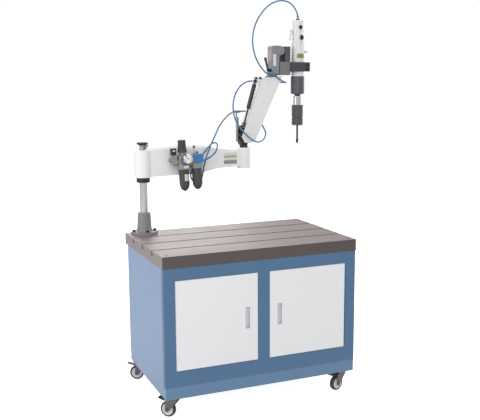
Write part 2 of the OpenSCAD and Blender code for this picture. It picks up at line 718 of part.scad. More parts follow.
module air_bodies() color("darkgray") air_place() {
    // filter regulator
    difference() {
        union() {
            linear_extrude(height = body_h) rrect(body_w, body_w, 7);
            at([0, 0, body_h]) cylinder(r = 17, h = 17);
        }
        at([0, 0, body_h + 17 - 10]) cylinder(r = 7 + run, h = 10 + cut);
    }
    // spacer with its clamp between the two bodies
    at([body_w / 2, -14, 18]) cube([air_pitch - body_w, 28, 30]);
    // lubricator
    at([air_pitch, 0, 0]) {
        linear_extrude(height = body_h - 3) rrect(body_w, body_w, 7);
        at([0, 0, body_h - 3]) cylinder(r = 14, h = 10);
        // filler plug on its stem, and drip screw
        at([-6, 0, body_h + 7]) {
            at([0, 0, -cut]) cylinder(r = 3, h = 26 + cut);
            at([0, 0, 26]) cylinder(r = 6, h = 12);
        }
        at([7, -6, body_h + 6]) cylinder(r = 5, h = 8);
    }
    // outlet elbow
    at([air_pitch + body_w / 2, 0, 34]) rotate([0, 90, 0]) cylinder(r = 9, h = 8);
}

module air_bowls() color("#3c3c3e") air_place() for (x = [0, air_pitch]) at([x, 0, 0]) {
    rotate_extrude() polygon([[0, -bowl_l - 8], [6, -bowl_l - 8], [8, -bowl_l - 5],
        [14, -bowl_l - 3], [bowl_r - 5, -bowl_l + 8], [bowl_r - 1.5, -bowl_l + 20],
        [bowl_r - 1.5, -10], [bowl_r, -10], [bowl_r, -5], [bowl_r - 2, -5], [bowl_r - 4, 0],
        [0, 0]]);
    for (a = [0:30:330]) rotate(a) at([bowl_r - 5, -1.5, -bowl_l + 24])
        cube([4.5, 3, bowl_l - 31]);
}

module pressure_gauge() color("ghostwhite") air_place() at([13, -body_w / 2, 55])
    rotate([90, 0, 0]) {
        cylinder(r = 6, h = 8);
        at([0, 0, 8]) rotate_extrude() polygon([[0, 0], [gauge_r - 2, 0], [gauge_r, 2],
            [gauge_r, 16], [gauge_r - 2, 18], [gauge_r - 2.5, 16.5], [0, 16.5]]);
    }

module lubricator_cover() color("royalblue") air_place() at([air_pitch, 0, 0]) {
    at([4, -body_w / 2, body_h - 19]) rotate([90, 0, 0]) linear_extrude(height = 9)
        rrect(50, 44, 5);
}

module shutoff_body() color("silver") air_place() at([valve_x, 0, 0]) {
    at([-13, -15, 26]) cube([26, 30, 50]);
    at([13, 0, 40]) rotate([0, 90, 0]) cylinder(r = 12, h = -valve_x - 13 - body_w / 2);
    at([0, 0, 76]) cylinder(r = 6, h = 8);
    // threaded inlet on the left, with its bore
    at([-24, 0, 51]) rotate([0, 90, 0]) difference() {
        cylinder(r = 11, h = 12);
        at([0, 0, -cut]) cylinder(r = 6.5, h = 11 + cut);
    }
}

module shutoff_knob() color("#222222") air_place() at([valve_x, 0, 76 + gap]) difference() {
    linear_extrude(height = 34) rrect(26, 26, 4);
    at([0, 0, -cut]) cylinder(r = 6 + run, h = 8 + cut);
}

module regulator_knob() color("#222222") air_place() at([0, 0, body_h + 17 + gap]) {
    at([0, 0, -9]) cylinder(r = 7, h = 9);
    difference() {
        rotate_extrude() polygon([[0, 0], [reg_knob_r + 3, 0], [reg_knob_r + 3, 6],
            [reg_knob_r, 12], [reg_knob_r - 1, 58], [reg_knob_r - 4, 62], [0, 62]]);
        for (a = [0:30:330]) rotate(a) at([reg_knob_r + 1.4, 0, 14]) cylinder(r = 2.4, h = 60);
    }
}

// ---- elbow ----

module elbow_bracket() color("#2e2e30") {
    at([ex, cy, foot_z]) cylinder(r = foot_r, h = foot_t);
    at([ex, cy, elbow_z + 1]) cylinder(r = shaft_r, h = foot_z - elbow_z);
    // nut, sunk into the boss
    at([ex, cy, elbow_z]) difference() {
        cylinder(r = nut_r, h = nut_t);
        at([0, 0, -cut]) cylinder(r = shaft_r, h = nut_t + 2 * cut);
    }
    // upright back plate and the two ears that carry the pivots
    at([ex - 23, cy - 22, foot_z + foot_t]) cube([12, 44, 62]);
    difference() {
        for (y = [-ear_out, ear_in]) slab(cy + y, cy + y + ear_out - ear_in) {
            polygon([[ex - 23, foot_z + foot_t], [ex + 16, foot_z + foot_t],
                p2 + [-9, -8], p2 + [8, 9], p1 + [8, 9.5], p1 + [-6, 11], [ex - 23, g1[1] + 9]]);
            translate(p1) circle(r = 12);
            translate(p2) circle(r = 12);
            translate(g1) circle(r = 9);
        }
        ybar(p1, cy, main_pin_r, 80);
        ybar(p2, cy, link_pin_r, 80);
        ybar(g1, cy, 4, 80);
    }
}

module elbow_post() color("silver") {
    px = ex - 31;
    py = cy + 10;
    at([px, py, foot_z + 32]) difference() {
        cylinder(r = 8, h = 126);
        at([0, 0, 122]) cylinder(r = 3, h = 5);
    }
    for (z = [foot_z + 30, foot_z + 58]) at([px - 4, py - 10, z]) cube([12, 20, 14]);
    // bent strip and union that hold the hose
    at([px - 3, py - 3, foot_z + 158]) cube([6, 16, 4]);
    at([px - 3, py + 9, foot_z + 158]) cube([6, 4, 30]);
    at([px - 3, py + 9, foot_z + 184]) cube([12, 8, 8]);
    at(post_union) rotate([0, 90, 0]) cylinder(r = 7, h = union_l);
}

module lift_pins() color("lightgray") {
    ybar(p1, cy, main_pin_r, box_w + 1);
    for (s = [-1, 1]) ybar(p1, cy + s * (box_w / 2 + 2), main_pin_r + 4, 3);
    ybar(p2, cy, link_pin_r, 2 * ear_out);
    for (s = [-1, 1]) ybar(p2, cy + s * (ear_out + 1.5), link_pin_r + 3, 3);
    // lower anchor of the gas spring
    ybar(g1, (gas_y - 6 + cy - ear_in) / 2, 4, cy - ear_in - gas_y + 6);
}

// ---- upper arm ----

// a point of the box's frame: d along it, n to its upper left
function up(d, n) = [box_x + d * cos(box_tilt) - n * sin(box_tilt),
    box_z + d * sin(box_tilt) + n * cos(box_tilt)];
function left_n(d) = end_lo[1] + (end_left[1] - end_lo[1]) * d / end_left[0];
function right_n(d) = end_lo[2] + (end_right[1] - end_lo[2]) * d / end_right[0];

module upper_arm() color("white") {
    half = box_w / 2;
    left_start = 60;
    right_start = 75;
    difference() {
        union() {
            for (y = [-half, half - box_wall]) slab(cy + y, cy + y + box_wall) {
                polygon([up(0, left_n(0)), p1 + [-35, -24], p1 + [-20, -54], p1 + [7, -59.5],
                    p1 + [32, -52], up(0, right_n(0)), up(end_right[0], right_n(end_right[0])),
                    up(end_left[0], left_n(end_left[0]))]);
                translate(p1) circle(r = 14);
            }
            slab(cy - half, cy + half) polygon([up(left_start, left_n(left_start)),
                up(left_start, left_n(left_start) - box_wall),
                up(end_left[0], left_n(end_left[0]) - box_wall),
                up(end_left[0], left_n(end_left[0]))]);
            slab(cy - half, cy + half) polygon([up(right_start, right_n(right_start)),
                up(right_start, right_n(right_start) + box_wall),
                up(end_right[0], right_n(end_right[0]) + box_wall),
                up(end_right[0], right_n(end_right[0]))]);
            // bosses inside the side plates
            for (s = [-1, 1], p = [p1, q1])
                ybar(p, cy + s * (half + ear_out + gap) / 2, main_pin_r + 5, half - ear_out - gap);
            // lug of the gas spring
            slab(gas_y + 6, gas_y + 14) {
                polygon([g2 + [-9, -6], g2 + [6, -9], up(end_left[0] - 36, left_n(0) + 12),
                    up(end_left[0], left_n(end_left[0])), up(end_left[0], left_n(end_left[0]) + 2),
                    g2 + [-4, 22]]);
                translate(g2) circle(r = 10.8);
            }
            // plate that holds the hose's union at the back
            at([g2[0] + 17, cy + half - 1, g2[1] - 10]) cube([18, 5, 20]);
            at(boom_union) rotate([0, 90, 0]) cylinder(r = 7, h = union_l);
        }
        for (p = [p1, q1]) ybar(p, cy, main_pin_r + run, 2 * box_w);
    }
    // pivot bolt of the gas spring and the lug's two screws
    ybar(g2, gas_y + 4, 4, 20);
    for (p = [g2 + [7, 16], g2 + [30, 16]]) ybar(p, gas_y + 2, 5.5, 8);
}

module parallel_link() color("dimgray") difference() {
    d = unit(q2 - p2);
    n = [-d[1], d[0]];
    slab(cy - 6, cy + 6) {
        polygon([p2 + 7 * n, p2 - 7 * n, q2 - 7 * n, q2 + 7 * n]);
        translate(p2) circle(r = 11);
        translate(q2) circle(r = 11);
    }
    for (p = [p2, q2]) ybar(p, cy, link_pin_r + run, 40);
}

// drawn hanging along -Z from the origin, then turned to the spring's line
module gas_place(p) translate([p[0], gas_y, p[1]]) rotate([0, gas_tilt + 180, 0]) children();

module gas_cylinder() color("#222222") gas_place(g2) difference() {
    union() {
        rotate([90, 0, 0]) cylinder(r = 9, h = 9, center = true);
        at([0, 0, -18]) cylinder(r = 5, h = 12);
        at([0, 0, -gas_cyl_l]) cylinder(r = gas_r, h = gas_cyl_l - 16);
    }
    rotate([90, 0, 0]) cylinder(r = 4 + run, h = 20, center = true);
    at([0, 0, -gas_cyl_l - cut]) cylinder(r = gas_rod_r + run, h = gas_cyl_l - 24);
}

module gas_rod() color("#555555") {
    len = norm(g2 - g1);
    gas_place(g2) at([0, 0, -len + 11]) cylinder(r = gas_rod_r, h = len - 11 - 68);
    // end eye, wide enough for the pivot that is left open
    ybar_ring(g1);
}

module ybar_ring(p) difference() {
    ybar(p, gas_y, 13, 8);
    ybar(p, gas_y, 9, 20);
}

// ---- head ----

module head_housing() color("dimgray") difference() {
    y0 = cy - head_w / 2;
    union() {
        // main casting with a rounded top left corner
        slab(y0, y0 + head_w) {
            polygon([[hx, hz], [tilt[0] - 8, hz], [tilt[0] - 8, tilt[1] - 26],
                [tilt[0] - 26, tilt[1] - 8], [tilt[0] - 26, hz + head_h], [hx + 11, hz + head_h],
                [hx, hz + head_h - 11]]);
            translate([hx + 11, hz + head_h - 11]) circle(r = 11);
        }
        // front half that carries the tilt pivot
        slab(y0, cy - 1) {
            translate(tilt) circle(r = 24);
            polygon([[tilt[0] - 30, hz + head_h], [tilt[0] - 30, tilt[1] - 24], [tilt[0] - 8, tilt[1] - 40],
                [tilt[0] - 4, tilt[1] - 23.7], [tilt[0], tilt[1]], [tilt[0], tilt[1] + 24],
                [tilt[0] - 12, hz + head_h]]);
        }
        ybar(tilt, y0 - 2.5, 19, 5);
        // ears that reach down into the upper arm
        for (y = [-ear_out, ear_in]) slab(cy + y, cy + y + ear_out - ear_in) {
            polygon([q1 + [-9, 8], q1 + [-8, -9], q2 + [-5, -11], q2 + [12, 0],
                [hx + 38, hz + cut], [hx + 2, hz + cut]]);
            translate(q1) circle(r = 12);
            translate(q2) circle(r = 12);
        }
        // union of the hose, on its stub
        at([hx - 18, y0 - 11, hz]) cube([8, 15, 10]);
        at([hx - 18, y0, hz]) cube([19, 4, 10]);
        at(head_union) rotate([0, 90, 0]) cylinder(r = 7, h = union_l);
    }
    ybar(q1, cy, main_pin_r, 80);
    ybar(q2, cy, link_pin_r, 80);
    ybar(tilt, cy, 8, 120);
    // seat of the clamp lever's screw
    at([hx - 12, lever_pos[1], lever_pos[2]]) rotate([0, 90, 0]) cylinder(r = 4 + run, h = 30);
}

module head_pins() color("lightgray") {
    ybar(q1, cy, main_pin_r, box_w + 1);
    for (s = [-1, 1]) ybar(q1, cy + s * (box_w / 2 + 2), main_pin_r + 4, 3);
    ybar(q2, cy, link_pin_r, 2 * ear_out);
    for (s = [-1, 1]) ybar(q2, cy + s * (ear_out + 1.5), link_pin_r + 3, 3);
    // tilt pivot
    ybar(tilt, cy - 1, 8, head_w + 8);
    ybar(tilt, cy + head_w / 2 + 5, 12, 5);
}

module clamp_lever() color("#222222") at(lever_pos) {
    rotate([0, 90, 0]) cylinder(r = 4, h = hx - lever_pos[0] + 14);
    rotate([0, 90, 0]) cylinder(r = 8.5, h = hx - lever_pos[0] - gap);
    at([4, 0, 4]) rotate([0, -14, 0]) rotate_extrude() polygon([[0, 0], [6, 0], [5, 10], [5.5, 40],
        [7.5, 56], [6.5, 63], [0, 66]]);
}

module head_bracket() color("darkgray") difference() {
    union() {
        // plate behind the housing's boss
        slab(cy + gap, cy + head_w / 2) {
            translate(tilt) circle(r = 24);
            polygon([[tilt[0], tilt[1] - 24], [tilt[0], tilt[1] + 22], [block_x1, tilt[1] + 22],
                [block_x1, clamp_z + clamp_h], [block_x0 + 12, clamp_z + clamp_h],
                [tilt[0] + 4, tilt[1] - 23.5]]);
        }
        // dark cheek in front
        slab(cy - head_w / 2 + 2, cy + gap) polygon([[tilt[0] + 27, tilt[1] + 22], [block_x1, tilt[1] + 22],
            [block_x1, clamp_z + clamp_h], [tilt[0] + 27, clamp_z + clamp_h]]);
        // holder block
        slab(cy - head_w / 2, cy + head_w / 2) polygon([[block_x0, clamp_z - 19],
            [block_x1, clamp_z - 19], [block_x1, clamp_z + clamp_h + 2], [block_x0, clamp_z + clamp_h + 2]]);
    }
    ybar(tilt, cy, 8 + run, 120);
}

module tool_clamp() color("#4b494d") {
    y0 = 44;
    difference() {
        at([block_x1, cy, clamp_z]) linear_extrude(height = clamp_h) difference() {
            union() {
                translate([0, -y0]) square([tx + 27 - block_x1, 2 * y0]);
                translate([0, -24]) square([tx + 63 - block_x1, 48]);
            }
            translate([tx - block_x1, 0]) circle(r = body_r);
            translate([tx - block_x1, -2]) square([100, 4]);
        }
        for (z = [0.27, 0.73]) at([tx + 50, cy, clamp_z + z * clamp_h]) rotate([90, 0, 0])
            cylinder(r = 4, h = 100, center = true);
    }
    for (z = [0.27, 0.73]) at([tx + 50, cy - 24, clamp_z + z * clamp_h]) rotate([90, 0, 0])
        cap_screw(4, 52);
}

// ---- tool ----

module motor_body() color("whitesmoke") difference() {
    union() {
        at([tx, cy, gear_top]) rotate_extrude() polygon([[0, 0], [body_r, 0],
            [body_r, step_z - gear_top - 3], [body_r - 2, step_z - gear_top], [grip_r, step_z - gear_top],
            [grip_r, tool_top - gear_top - 3], [grip_r - 3, tool_top - gear_top], [0, tool_top - gear_top]]);
        // ears of the trigger lever
        for (y = [-11, 8]) at([trig_x - 4, cy + y, trig_z - 6]) cube([14, 3, 12]);
        // raised seats of the buttons
        for (b = buttons) at([tx, cy, b[1]]) rotate(b[2]) rotate([0, 90, 0])
            cylinder(r = b[0] + 2, h = grip_r + 3);
        // boss of the exhaust silencer
        at([tx, cy, muffler_z]) rotate(-23) rotate([0, 90, 0]) cylinder(r = 9, h = body_r + 1);
    }
    ybar([trig_x, trig_z], cy, 1.5 + run, 40);
    for (b = buttons) at([tx, cy, b[1]]) rotate(b[2]) translate([20, 0, 0]) rotate([0, 90, 0])
        cylinder(r = b[0] + 0.1, h = 40);
}

module air_fittings() color("darkgoldenrod") {
    // air inlet on top
    at([tx, cy, tool_top]) rotate_extrude() polygon([[0, 0], [11, 0], [11, 7], [8, 8], [8, 15],
        [6.5, 16], [0, 16]]);
    // exhaust silencer on the right of the body
    at([tx, cy, muffler_z]) rotate(-23) translate([body_r + 1, 0, 0]) rotate([0, 90, 0]) {
        cylinder(r = 6.5, h = 7, $fn = 6);
        at([0, 0, 7]) cylinder(r = 5, h = 10);
    }
}

module gearbox() color("#47454a") at([tx, cy, gear_top]) rotate_extrude() polygon([[0, 0],
    [gear_r - 3, 0], [gear_r, -3], [gear_r, -gear_h + 4], [gear_r - 3, -gear_h + 1],
    [17, -gear_h - 2], [14, -gear_h - neck_h + gap], [0, -gear_h - neck_h + gap]]);

module trigger_lever() color("gainsboro") {
    difference() {
        union() {
            ybar([trig_x, trig_z], cy, 4, 15);
            slab(cy - 7.5, cy + 7.5) polygon([[trig_x - 4, trig_z], [trig_x - 1, trig_z],
                [trig_x - 8, trig_z - 51], [trig_x - 12, trig_z - 52]]);
        }
    }
    ybar([trig_x, trig_z], cy, 1.5, 22);
}

// a push button, whose face stands proud of its seat by its travel and a little more
module button(b) at([tx, cy, b[1]]) rotate(b[2]) translate([grip_r + 4.5 + button_travel, 0, 0])
    rotate([0, -90, 0]) rotate_extrude() polygon([[0, 0], [b[0] - 2, 0], [b[0], 2], [b[0], 14],
        [0, 14]]);

module button_upper() color("#222222") button(buttons[0]);
module button_lower() color("#222222") button(buttons[1]);

module spindle() color("silver") at([tx, cy, chuck_top]) difference() {
    union() {
        cylinder(r = sleeve_r, h = sleeve_h);
        at([0, 0, -20]) cylinder(r = 10, h = 20);
    }
    at([0, 0, sleeve_h - 3]) rotate_extrude() translate([sleeve_r, 0]) circle(r = 1.2, $fn = 24);
}

module chuck() color("#47454a") at([tx, cy, chuck_top]) difference() {
    rotate_extrude() polygon([[10, 0], [chuck_r - 2, 0], [chuck_r, -2], [chuck_r, -66],
        [chuck_r - 3, -68], [chuck_r - 3, -71], [chuck_r, -73], [chuck_r, -chuck_h + 4],
        [chuck_r - 4, -chuck_h], [tap_r, -chuck_h], [tap_r, -20], [10, -20]]);
    for (a = [0:20:340]) rotate(a) at([chuck_r + 1, 0, -62]) cylinder(r = 1.9, h = 56);
}

module tap() color("#6a686c") at([tx, cy, tap_top]) {
    difference() {
        union() {
            at([0, 0, -tap_l + 23]) cylinder(r = tap_r, h = tap_l - 23 + 40);
            at([0, 0, -tap_l]) rotate_extrude() polygon([[0, 0], [4, 0], [6.5, 5], [6.5, 22],
                [tap_r, 24], [0, 24]]);
        }
        for (a = [0:120:240]) rotate(a) at([7.2, 0, -tap_l - cut]) cylinder(r = 2.6, h = 34);
    }
}

// ---- hoses ----

module hose_feed() color("steelblue") hose(feed_path, [air_right, X]);
module hose_loop() color("steelblue") hose(loop_path, [X, X]);
module hose_head() color("steelblue") hose(head_path, [X, -X]);
module hose_tool() color("steelblue") hose(tool_path, [-X, -Z]);

cabinet_shell();
front_frame();
table_top();
bench_screws();
column_base();
column();
castor_plates();
door_left();
door_right();
pull_left();
pull_right();
castor_fork(0);  // castor_fork_fl
castor_fork(1);  // castor_fork_fr
castor_fork(2);  // castor_fork_bl
castor_fork(3);  // castor_fork_br
castor_wheel(0);  // castor_wheel_fl
castor_wheel(1);  // castor_wheel_fr
castor_wheel(2);  // castor_wheel_bl
castor_wheel(3);  // castor_wheel_br
brake_pedal(0);  // brake_pedal_fl
brake_pedal(1);  // brake_pedal_fr
brake_pedal(2);  // brake_pedal_bl
brake_pedal(3);  // brake_pedal_br
column_collar();
top_knob();
lower_arm();
arm_bushes();
air_bracket();
air_bodies();
air_bowls();
pressure_gauge();
lubricator_cover();
shutoff_body();
shutoff_knob();
regulator_knob();
elbow_bracket();
elbow_post();
lift_pins();
upper_arm();
parallel_link();
gas_cylinder();
gas_rod();
head_housing();
head_pins();
clamp_lever();
head_bracket();
tool_clamp();
motor_body();
air_fittings();
gearbox();
trigger_lever();
button_upper();
button_lower();
spindle();
chuck();
tap();
hose_feed();
hose_loop();
hose_head();
hose_tool();
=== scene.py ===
"""Looks of a pneumatic tapping arm on a castor bench with a slotted iron table.

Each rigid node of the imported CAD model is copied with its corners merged, its edges broken by
a small bevel, and given a procedural finish. The hoses, labels and gauge face are worked out
with numpy. Sizes are in millimetres, +Z is up, and meshes are in metres.
"""
from __future__ import annotations

import logging
import math
from collections.abc import Callable
from dataclasses import dataclass, replace
from enum import Enum, auto
from functools import cache

import bmesh
import bpy
import numpy as np
from bpy.types import Material, Mesh, Node, NodeSocket, NodeTree, Object
from mathutils import Matrix, Vector

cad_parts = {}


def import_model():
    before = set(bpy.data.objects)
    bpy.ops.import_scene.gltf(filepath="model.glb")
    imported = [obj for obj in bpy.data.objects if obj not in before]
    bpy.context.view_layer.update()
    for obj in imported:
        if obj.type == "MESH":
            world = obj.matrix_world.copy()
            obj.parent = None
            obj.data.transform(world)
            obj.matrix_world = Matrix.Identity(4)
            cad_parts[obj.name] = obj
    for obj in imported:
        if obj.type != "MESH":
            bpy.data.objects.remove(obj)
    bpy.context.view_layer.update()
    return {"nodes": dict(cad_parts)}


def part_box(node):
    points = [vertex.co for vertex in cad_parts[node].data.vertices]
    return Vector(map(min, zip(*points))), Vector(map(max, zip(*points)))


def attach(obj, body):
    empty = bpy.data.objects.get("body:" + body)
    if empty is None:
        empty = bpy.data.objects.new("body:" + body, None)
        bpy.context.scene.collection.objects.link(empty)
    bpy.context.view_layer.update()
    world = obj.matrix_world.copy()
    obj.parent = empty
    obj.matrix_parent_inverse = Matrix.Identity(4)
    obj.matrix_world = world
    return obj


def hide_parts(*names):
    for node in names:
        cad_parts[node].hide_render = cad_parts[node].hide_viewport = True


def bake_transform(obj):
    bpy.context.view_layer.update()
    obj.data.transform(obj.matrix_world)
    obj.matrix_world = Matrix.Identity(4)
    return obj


LOG = logging.getLogger("tapping_arm")
Point = tuple[float, float, float]
Span = tuple[float, float]
Where = Callable[[np.ndarray], np.ndarray]

MM = 0.001

# places that the CAD source sets
COLUMN = (-415.0, 252.0)
TOOL = (460.02, 252.0)
TILT = (345.02, 252.0, 1710.06)
HOUSING = (296.02, 222.0, 1589.06)
UNION_LENGTH = 24.0
UNION_RADIUS = 7.2
POST_UNION = (108.0, 284.0, 1392.0)
BOOM_UNION = (213.99, 294.0, 1552.0)
HEAD_UNION = (262.02, 205.0, 1590.06)
TOOL_INLET = (460.02, 252.0, 1886.56)
AIR_ORIGIN = (-227.0, 165.0, 1114.0)
AIR_LEAN = math.radians(3.5)
BODY_HALF = 25.0
FOIL = 0.3

RIGHT = (1.0, 0.0, 0.0)
LEFT = (-1.0, 0.0, 0.0)
FRONT = (0.0, -1.0, 0.0)
UP = (0.0, 0.0, 1.0)
AIR_UP = (-math.sin(AIR_LEAN), 0.0, math.cos(AIR_LEAN))
AIR_RIGHT = (math.cos(AIR_LEAN), 0.0, math.sin(AIR_LEAN))


def mm(*values: float) -> Point:
    """Return millimetres as metres."""
    return tuple(v * MM for v in values)


class Pattern(Enum):
    """What the fine relief of a finish looks like."""

    SMOOTH = auto()
    CASTING = auto()
    BRUSHED = auto()
    MILLED = auto()
    KNURL = auto()


@dataclass(frozen=True)
class Finish:
    """One finish: its colour and how it varies over a surface."""

    name: str
    base: Point
    roughness: float = 0.4
    metallic: float = 0.0
    pattern: Pattern = Pattern.SMOOTH
    coat: float = 0.0
    spread: float = 0.12
    mottle: float = 0.06
    scale: float = 220.0
    bump: float = 0.10
    grime: float = 0.0
    slot: str | None = None

    def like(self, name: str, base: Point, roughness: float | None = None,
             **changes: object) -> Finish:
        """Return another finish that differs from this one in what is given."""
        return replace(self, name=name, base=base, roughness=roughness or self.roughness,
                       **changes)


# ---- shader nodes ----

def node(tree: NodeTree, kind: str, values: dict[str | int, object],
         **settings: object) -> Node:
    """Add a shader node.

    Args:
        tree: where it goes.
        kind: its type, without the leading word ShaderNode.
        values: a socket or a value for each input named.
        settings: its own settings, such as its operation.

    Returns:
        The node.
    """
    made = tree.nodes.new(f"ShaderNode{kind}")
    for name, value in settings.items():
        setattr(made, name, value)
    for name, value in values.items():
        if isinstance(value, NodeSocket):
            tree.links.new(value, made.inputs[name])
        else:
            made.inputs[name].default_value = value
    return made


def calc(tree: NodeTree, operation: str, *values: object,
         clamp: bool = False) -> NodeSocket:
    """Add a Math node of sockets or numbers, held in 0 to 1 if clamped, and return its result."""
    return node(tree, "Math", dict(enumerate(values)), operation=operation,
                use_clamp=clamp).outputs[0]


def noise(tree: NodeTree, place: NodeSocket, scale: NodeSocket | float,
          detail: float) -> NodeSocket:
    """Add a noise texture at a place, and return its strength."""
    return node(tree, "TexNoise", {"Vector": place, "Scale": scale,
                                   "Detail": detail}).outputs["Fac"]


def start_group(name: str, inputs: dict[str, float | None], *outputs: str
                ) -> tuple[NodeTree, object, object]:
    """Start a node group.

    Args:
        name: its name.
        inputs: the default of each number, and None for a vector or the colour.
        outputs: the colour or the numbers that it puts out.

    Returns:
        The tree, the sockets of its input node and those of its output node.
    """
    tree = bpy.data.node_groups.new(name, "ShaderNodeTree")
    for way, label, value in ([("INPUT", *pair) for pair in inputs.items()]
                              + [("OUTPUT", label, 0.0) for label in outputs]):
        kind = "Color" if label == "Color" else "Vector" if value is None else "Float"
        socket = tree.interface.new_socket(label, in_out=way,
                                           socket_type=f"NodeSocket{kind}")
        if kind == "Float" and way == "INPUT":
            socket.default_value = value
    return (tree, tree.nodes.new("NodeGroupInput").outputs,
            tree.nodes.new("NodeGroupOutput").inputs)


@cache
def mottle_group() -> NodeTree:
    """Vary a colour and its roughness in soft clouds and fine specks.

    Returns:
        A group: the colour times 1 + amount (cloud + speck - 1), and a roughness like it.
    """
    tree, given, out = start_group(
        "Mottle", {"Vector": None, "Color": None, "Amount": 0.06, "Cloud Scale": 9.0,
                   "Speck Scale": 400.0, "Roughness": 0.4, "Spread": 0.1},
        "Color", "Roughness")
    cloud = noise(tree, given["Vector"], given["Cloud Scale"], 5.0)
    speck = noise(tree, given["Vector"], given["Speck Scale"], 2.0)
    centred = calc(tree, "SUBTRACT", calc(tree, "ADD", cloud, speck), 1.0)
    gain = calc(tree, "MULTIPLY_ADD", centred, given["Amount"], 1.0)
    tinted = node(tree, "VectorMath", {0: given["Color"], "Scale": gain}, operation="SCALE")
    tree.links.new(tinted.outputs[0], out["Color"])
    tree.links.new(calc(tree, "MULTIPLY_ADD", centred, given["Spread"], given["Roughness"],
                        clamp=True), out["Roughness"])
    return tree


@cache
def skin_group() -> NodeTree:
    """Give the fine relief of paint, castings and mouldings.

    Returns:
        A group: fine noise plus a share of coarse noise, as a height.
    """
    tree, given, out = start_group(
        "Skin", {"Vector": None, "Fine Scale": 300.0, "Coarse Scale": 40.0,
                 "Coarse Share": 0.3}, "Height")
    fine = noise(tree, given["Vector"], given["Fine Scale"], 3.0)
    coarse = noise(tree, given["Vector"], given["Coarse Scale"], 2.0)
    tree.links.new(calc(tree, "MULTIPLY_ADD", coarse, given["Coarse Share"], fine),
                   out["Height"])
    return tree


@cache
def strokes_group() -> NodeTree:
    """Draw the fine parallel marks of brushing, turning or milling.

    Returns:
        A group: noise stretched along one axis, as a height.
    """
    tree, given, out = start_group(
        "Strokes", {"Vector": None, "Stretch": None, "Scale": 600.0}, "Height")
    squeezed = node(tree, "VectorMath", {0: given["Vector"], 1: given["Stretch"]},
                    operation="MULTIPLY").outputs[0]
    tree.links.new(noise(tree, squeezed, given["Scale"], 4.0), out["Height"])
    return tree


@cache
def grime_group() -> NodeTree:
    """Lay floor dust over a colour near the floor.

    Returns:
        A group: the colour mixed with dust, less and less up to the reach in metres.
    """
    tree, given, out = start_group(
        "Grime", {"Vector": None, "Color": None, "Amount": 0.2, "Reach": 0.2}, "Color")
    height = node(tree, "SeparateXYZ", {0: given["Vector"]}).outputs["Z"]
    low = calc(tree, "SUBTRACT", 1.0, calc(tree, "DIVIDE", height, given["Reach"]),
               clamp=True)
    patch = calc(tree, "MULTIPLY", low, noise(tree, given["Vector"], 55.0, 6.0))
    mask = calc(tree, "MULTIPLY", patch, given["Amount"], clamp=True)
    mix = node(tree, "Mix", {"Factor": mask, "A": given["Color"],
                             "B": (0.30, 0.27, 0.23, 1.0)}, data_type="RGBA")
    tree.links.new(mix.outputs["Result"], out["Color"])
    return tree


@cache
def knurl_group() -> NodeTree:
    """Cut a diamond knurl round an upright axis.

    Returns:
        A group: |sin(n a + k z)| |sin(n a - k z)| at the angle a about the centre.
    """
    tree, given, out = start_group(
        "Knurl", {"Vector": None, "Centre": None, "Count": 46.0, "Climb": 1500.0}, "Height")
    moved = node(tree, "VectorMath", {0: given["Vector"], 1: given["Centre"]},
                 operation="SUBTRACT").outputs[0]
    place = node(tree, "SeparateXYZ", {0: moved}).outputs
    turn = calc(tree, "MULTIPLY", calc(tree, "ARCTAN2", place["Y"], place["X"]),
                given["Count"])
    climb = calc(tree, "MULTIPLY", place["Z"], given["Climb"])
    waves = [calc(tree, "ABSOLUTE", calc(tree, "SINE", calc(tree, sign, turn, climb)))
             for sign in ("ADD", "SUBTRACT")]
    tree.links.new(calc(tree, "MULTIPLY", *waves), out["Height"])
    return tree


class Paintbox:
    """Makes each finish's material once."""

    STRETCH = {Pattern.BRUSHED: (1.0, 1.0, 0.04), Pattern.MILLED: (0.02, 1.0, 1.0)}
    COARSE_SHARE = {Pattern.CASTING: 0.9, Pattern.SMOOTH: 0.35}
    RELIEF_DEPTH = 0.0004

    @classmethod
    @cache
    def get(cls, finish: Finish) -> Material:
        """Return the material of a finish, with its pattern on Object coordinates.

        Args:
            finish: what it looks like.

        Returns:
            Its material.
        """
        material = bpy.data.materials.new(finish.name)
        material.use_nodes = True
        tree = material.node_tree
        given = tree.nodes["Principled BSDF"].inputs
        given["Metallic"].default_value = finish.metallic
        given["Coat Weight"].default_value = finish.coat
        given["Coat Roughness"].default_value = 0.12
        place = {"Vector": node(tree, "TexCoord", {}).outputs["Object"]}
        cloud = node(tree, "Group", {
            **place, "Color": (*finish.base, 1.0), "Amount": finish.mottle,
            "Speck Scale": finish.scale * 1.7, "Roughness": finish.roughness,
            "Spread": finish.spread}, node_tree=mottle_group())
        colour = cloud.outputs["Color"]
        if finish.grime:
            colour = node(tree, "Group", {**place, "Color": colour, "Amount": finish.grime},
                          node_tree=grime_group()).outputs["Color"]
        if finish.pattern in cls.STRETCH:
            relief = node(tree, "Group", {
                **place, "Stretch": cls.STRETCH[finish.pattern], "Scale": finish.scale},
                node_tree=strokes_group())
        elif finish.pattern is Pattern.KNURL:
            relief = node(tree, "Group", {**place, "Centre": (*mm(*TOOL), 0.0)},
                          node_tree=knurl_group())
        else:
            relief = node(tree, "Group", {
                **place, "Fine Scale": finish.scale, "Coarse Scale": finish.scale / 7,
                "Coarse Share": cls.COARSE_SHARE[finish.pattern]}, node_tree=skin_group())
        bump = node(tree, "Bump", {"Strength": finish.bump, "Distance": cls.RELIEF_DEPTH,
                                   "Height": relief.outputs["Height"]})
        for name, value in (("Base Color", colour), ("Roughness", cloud.outputs["Roughness"]),
                            ("Normal", bump.outputs["Normal"])):
            tree.links.new(value, given[name])
        return material


# ---- finishes ----

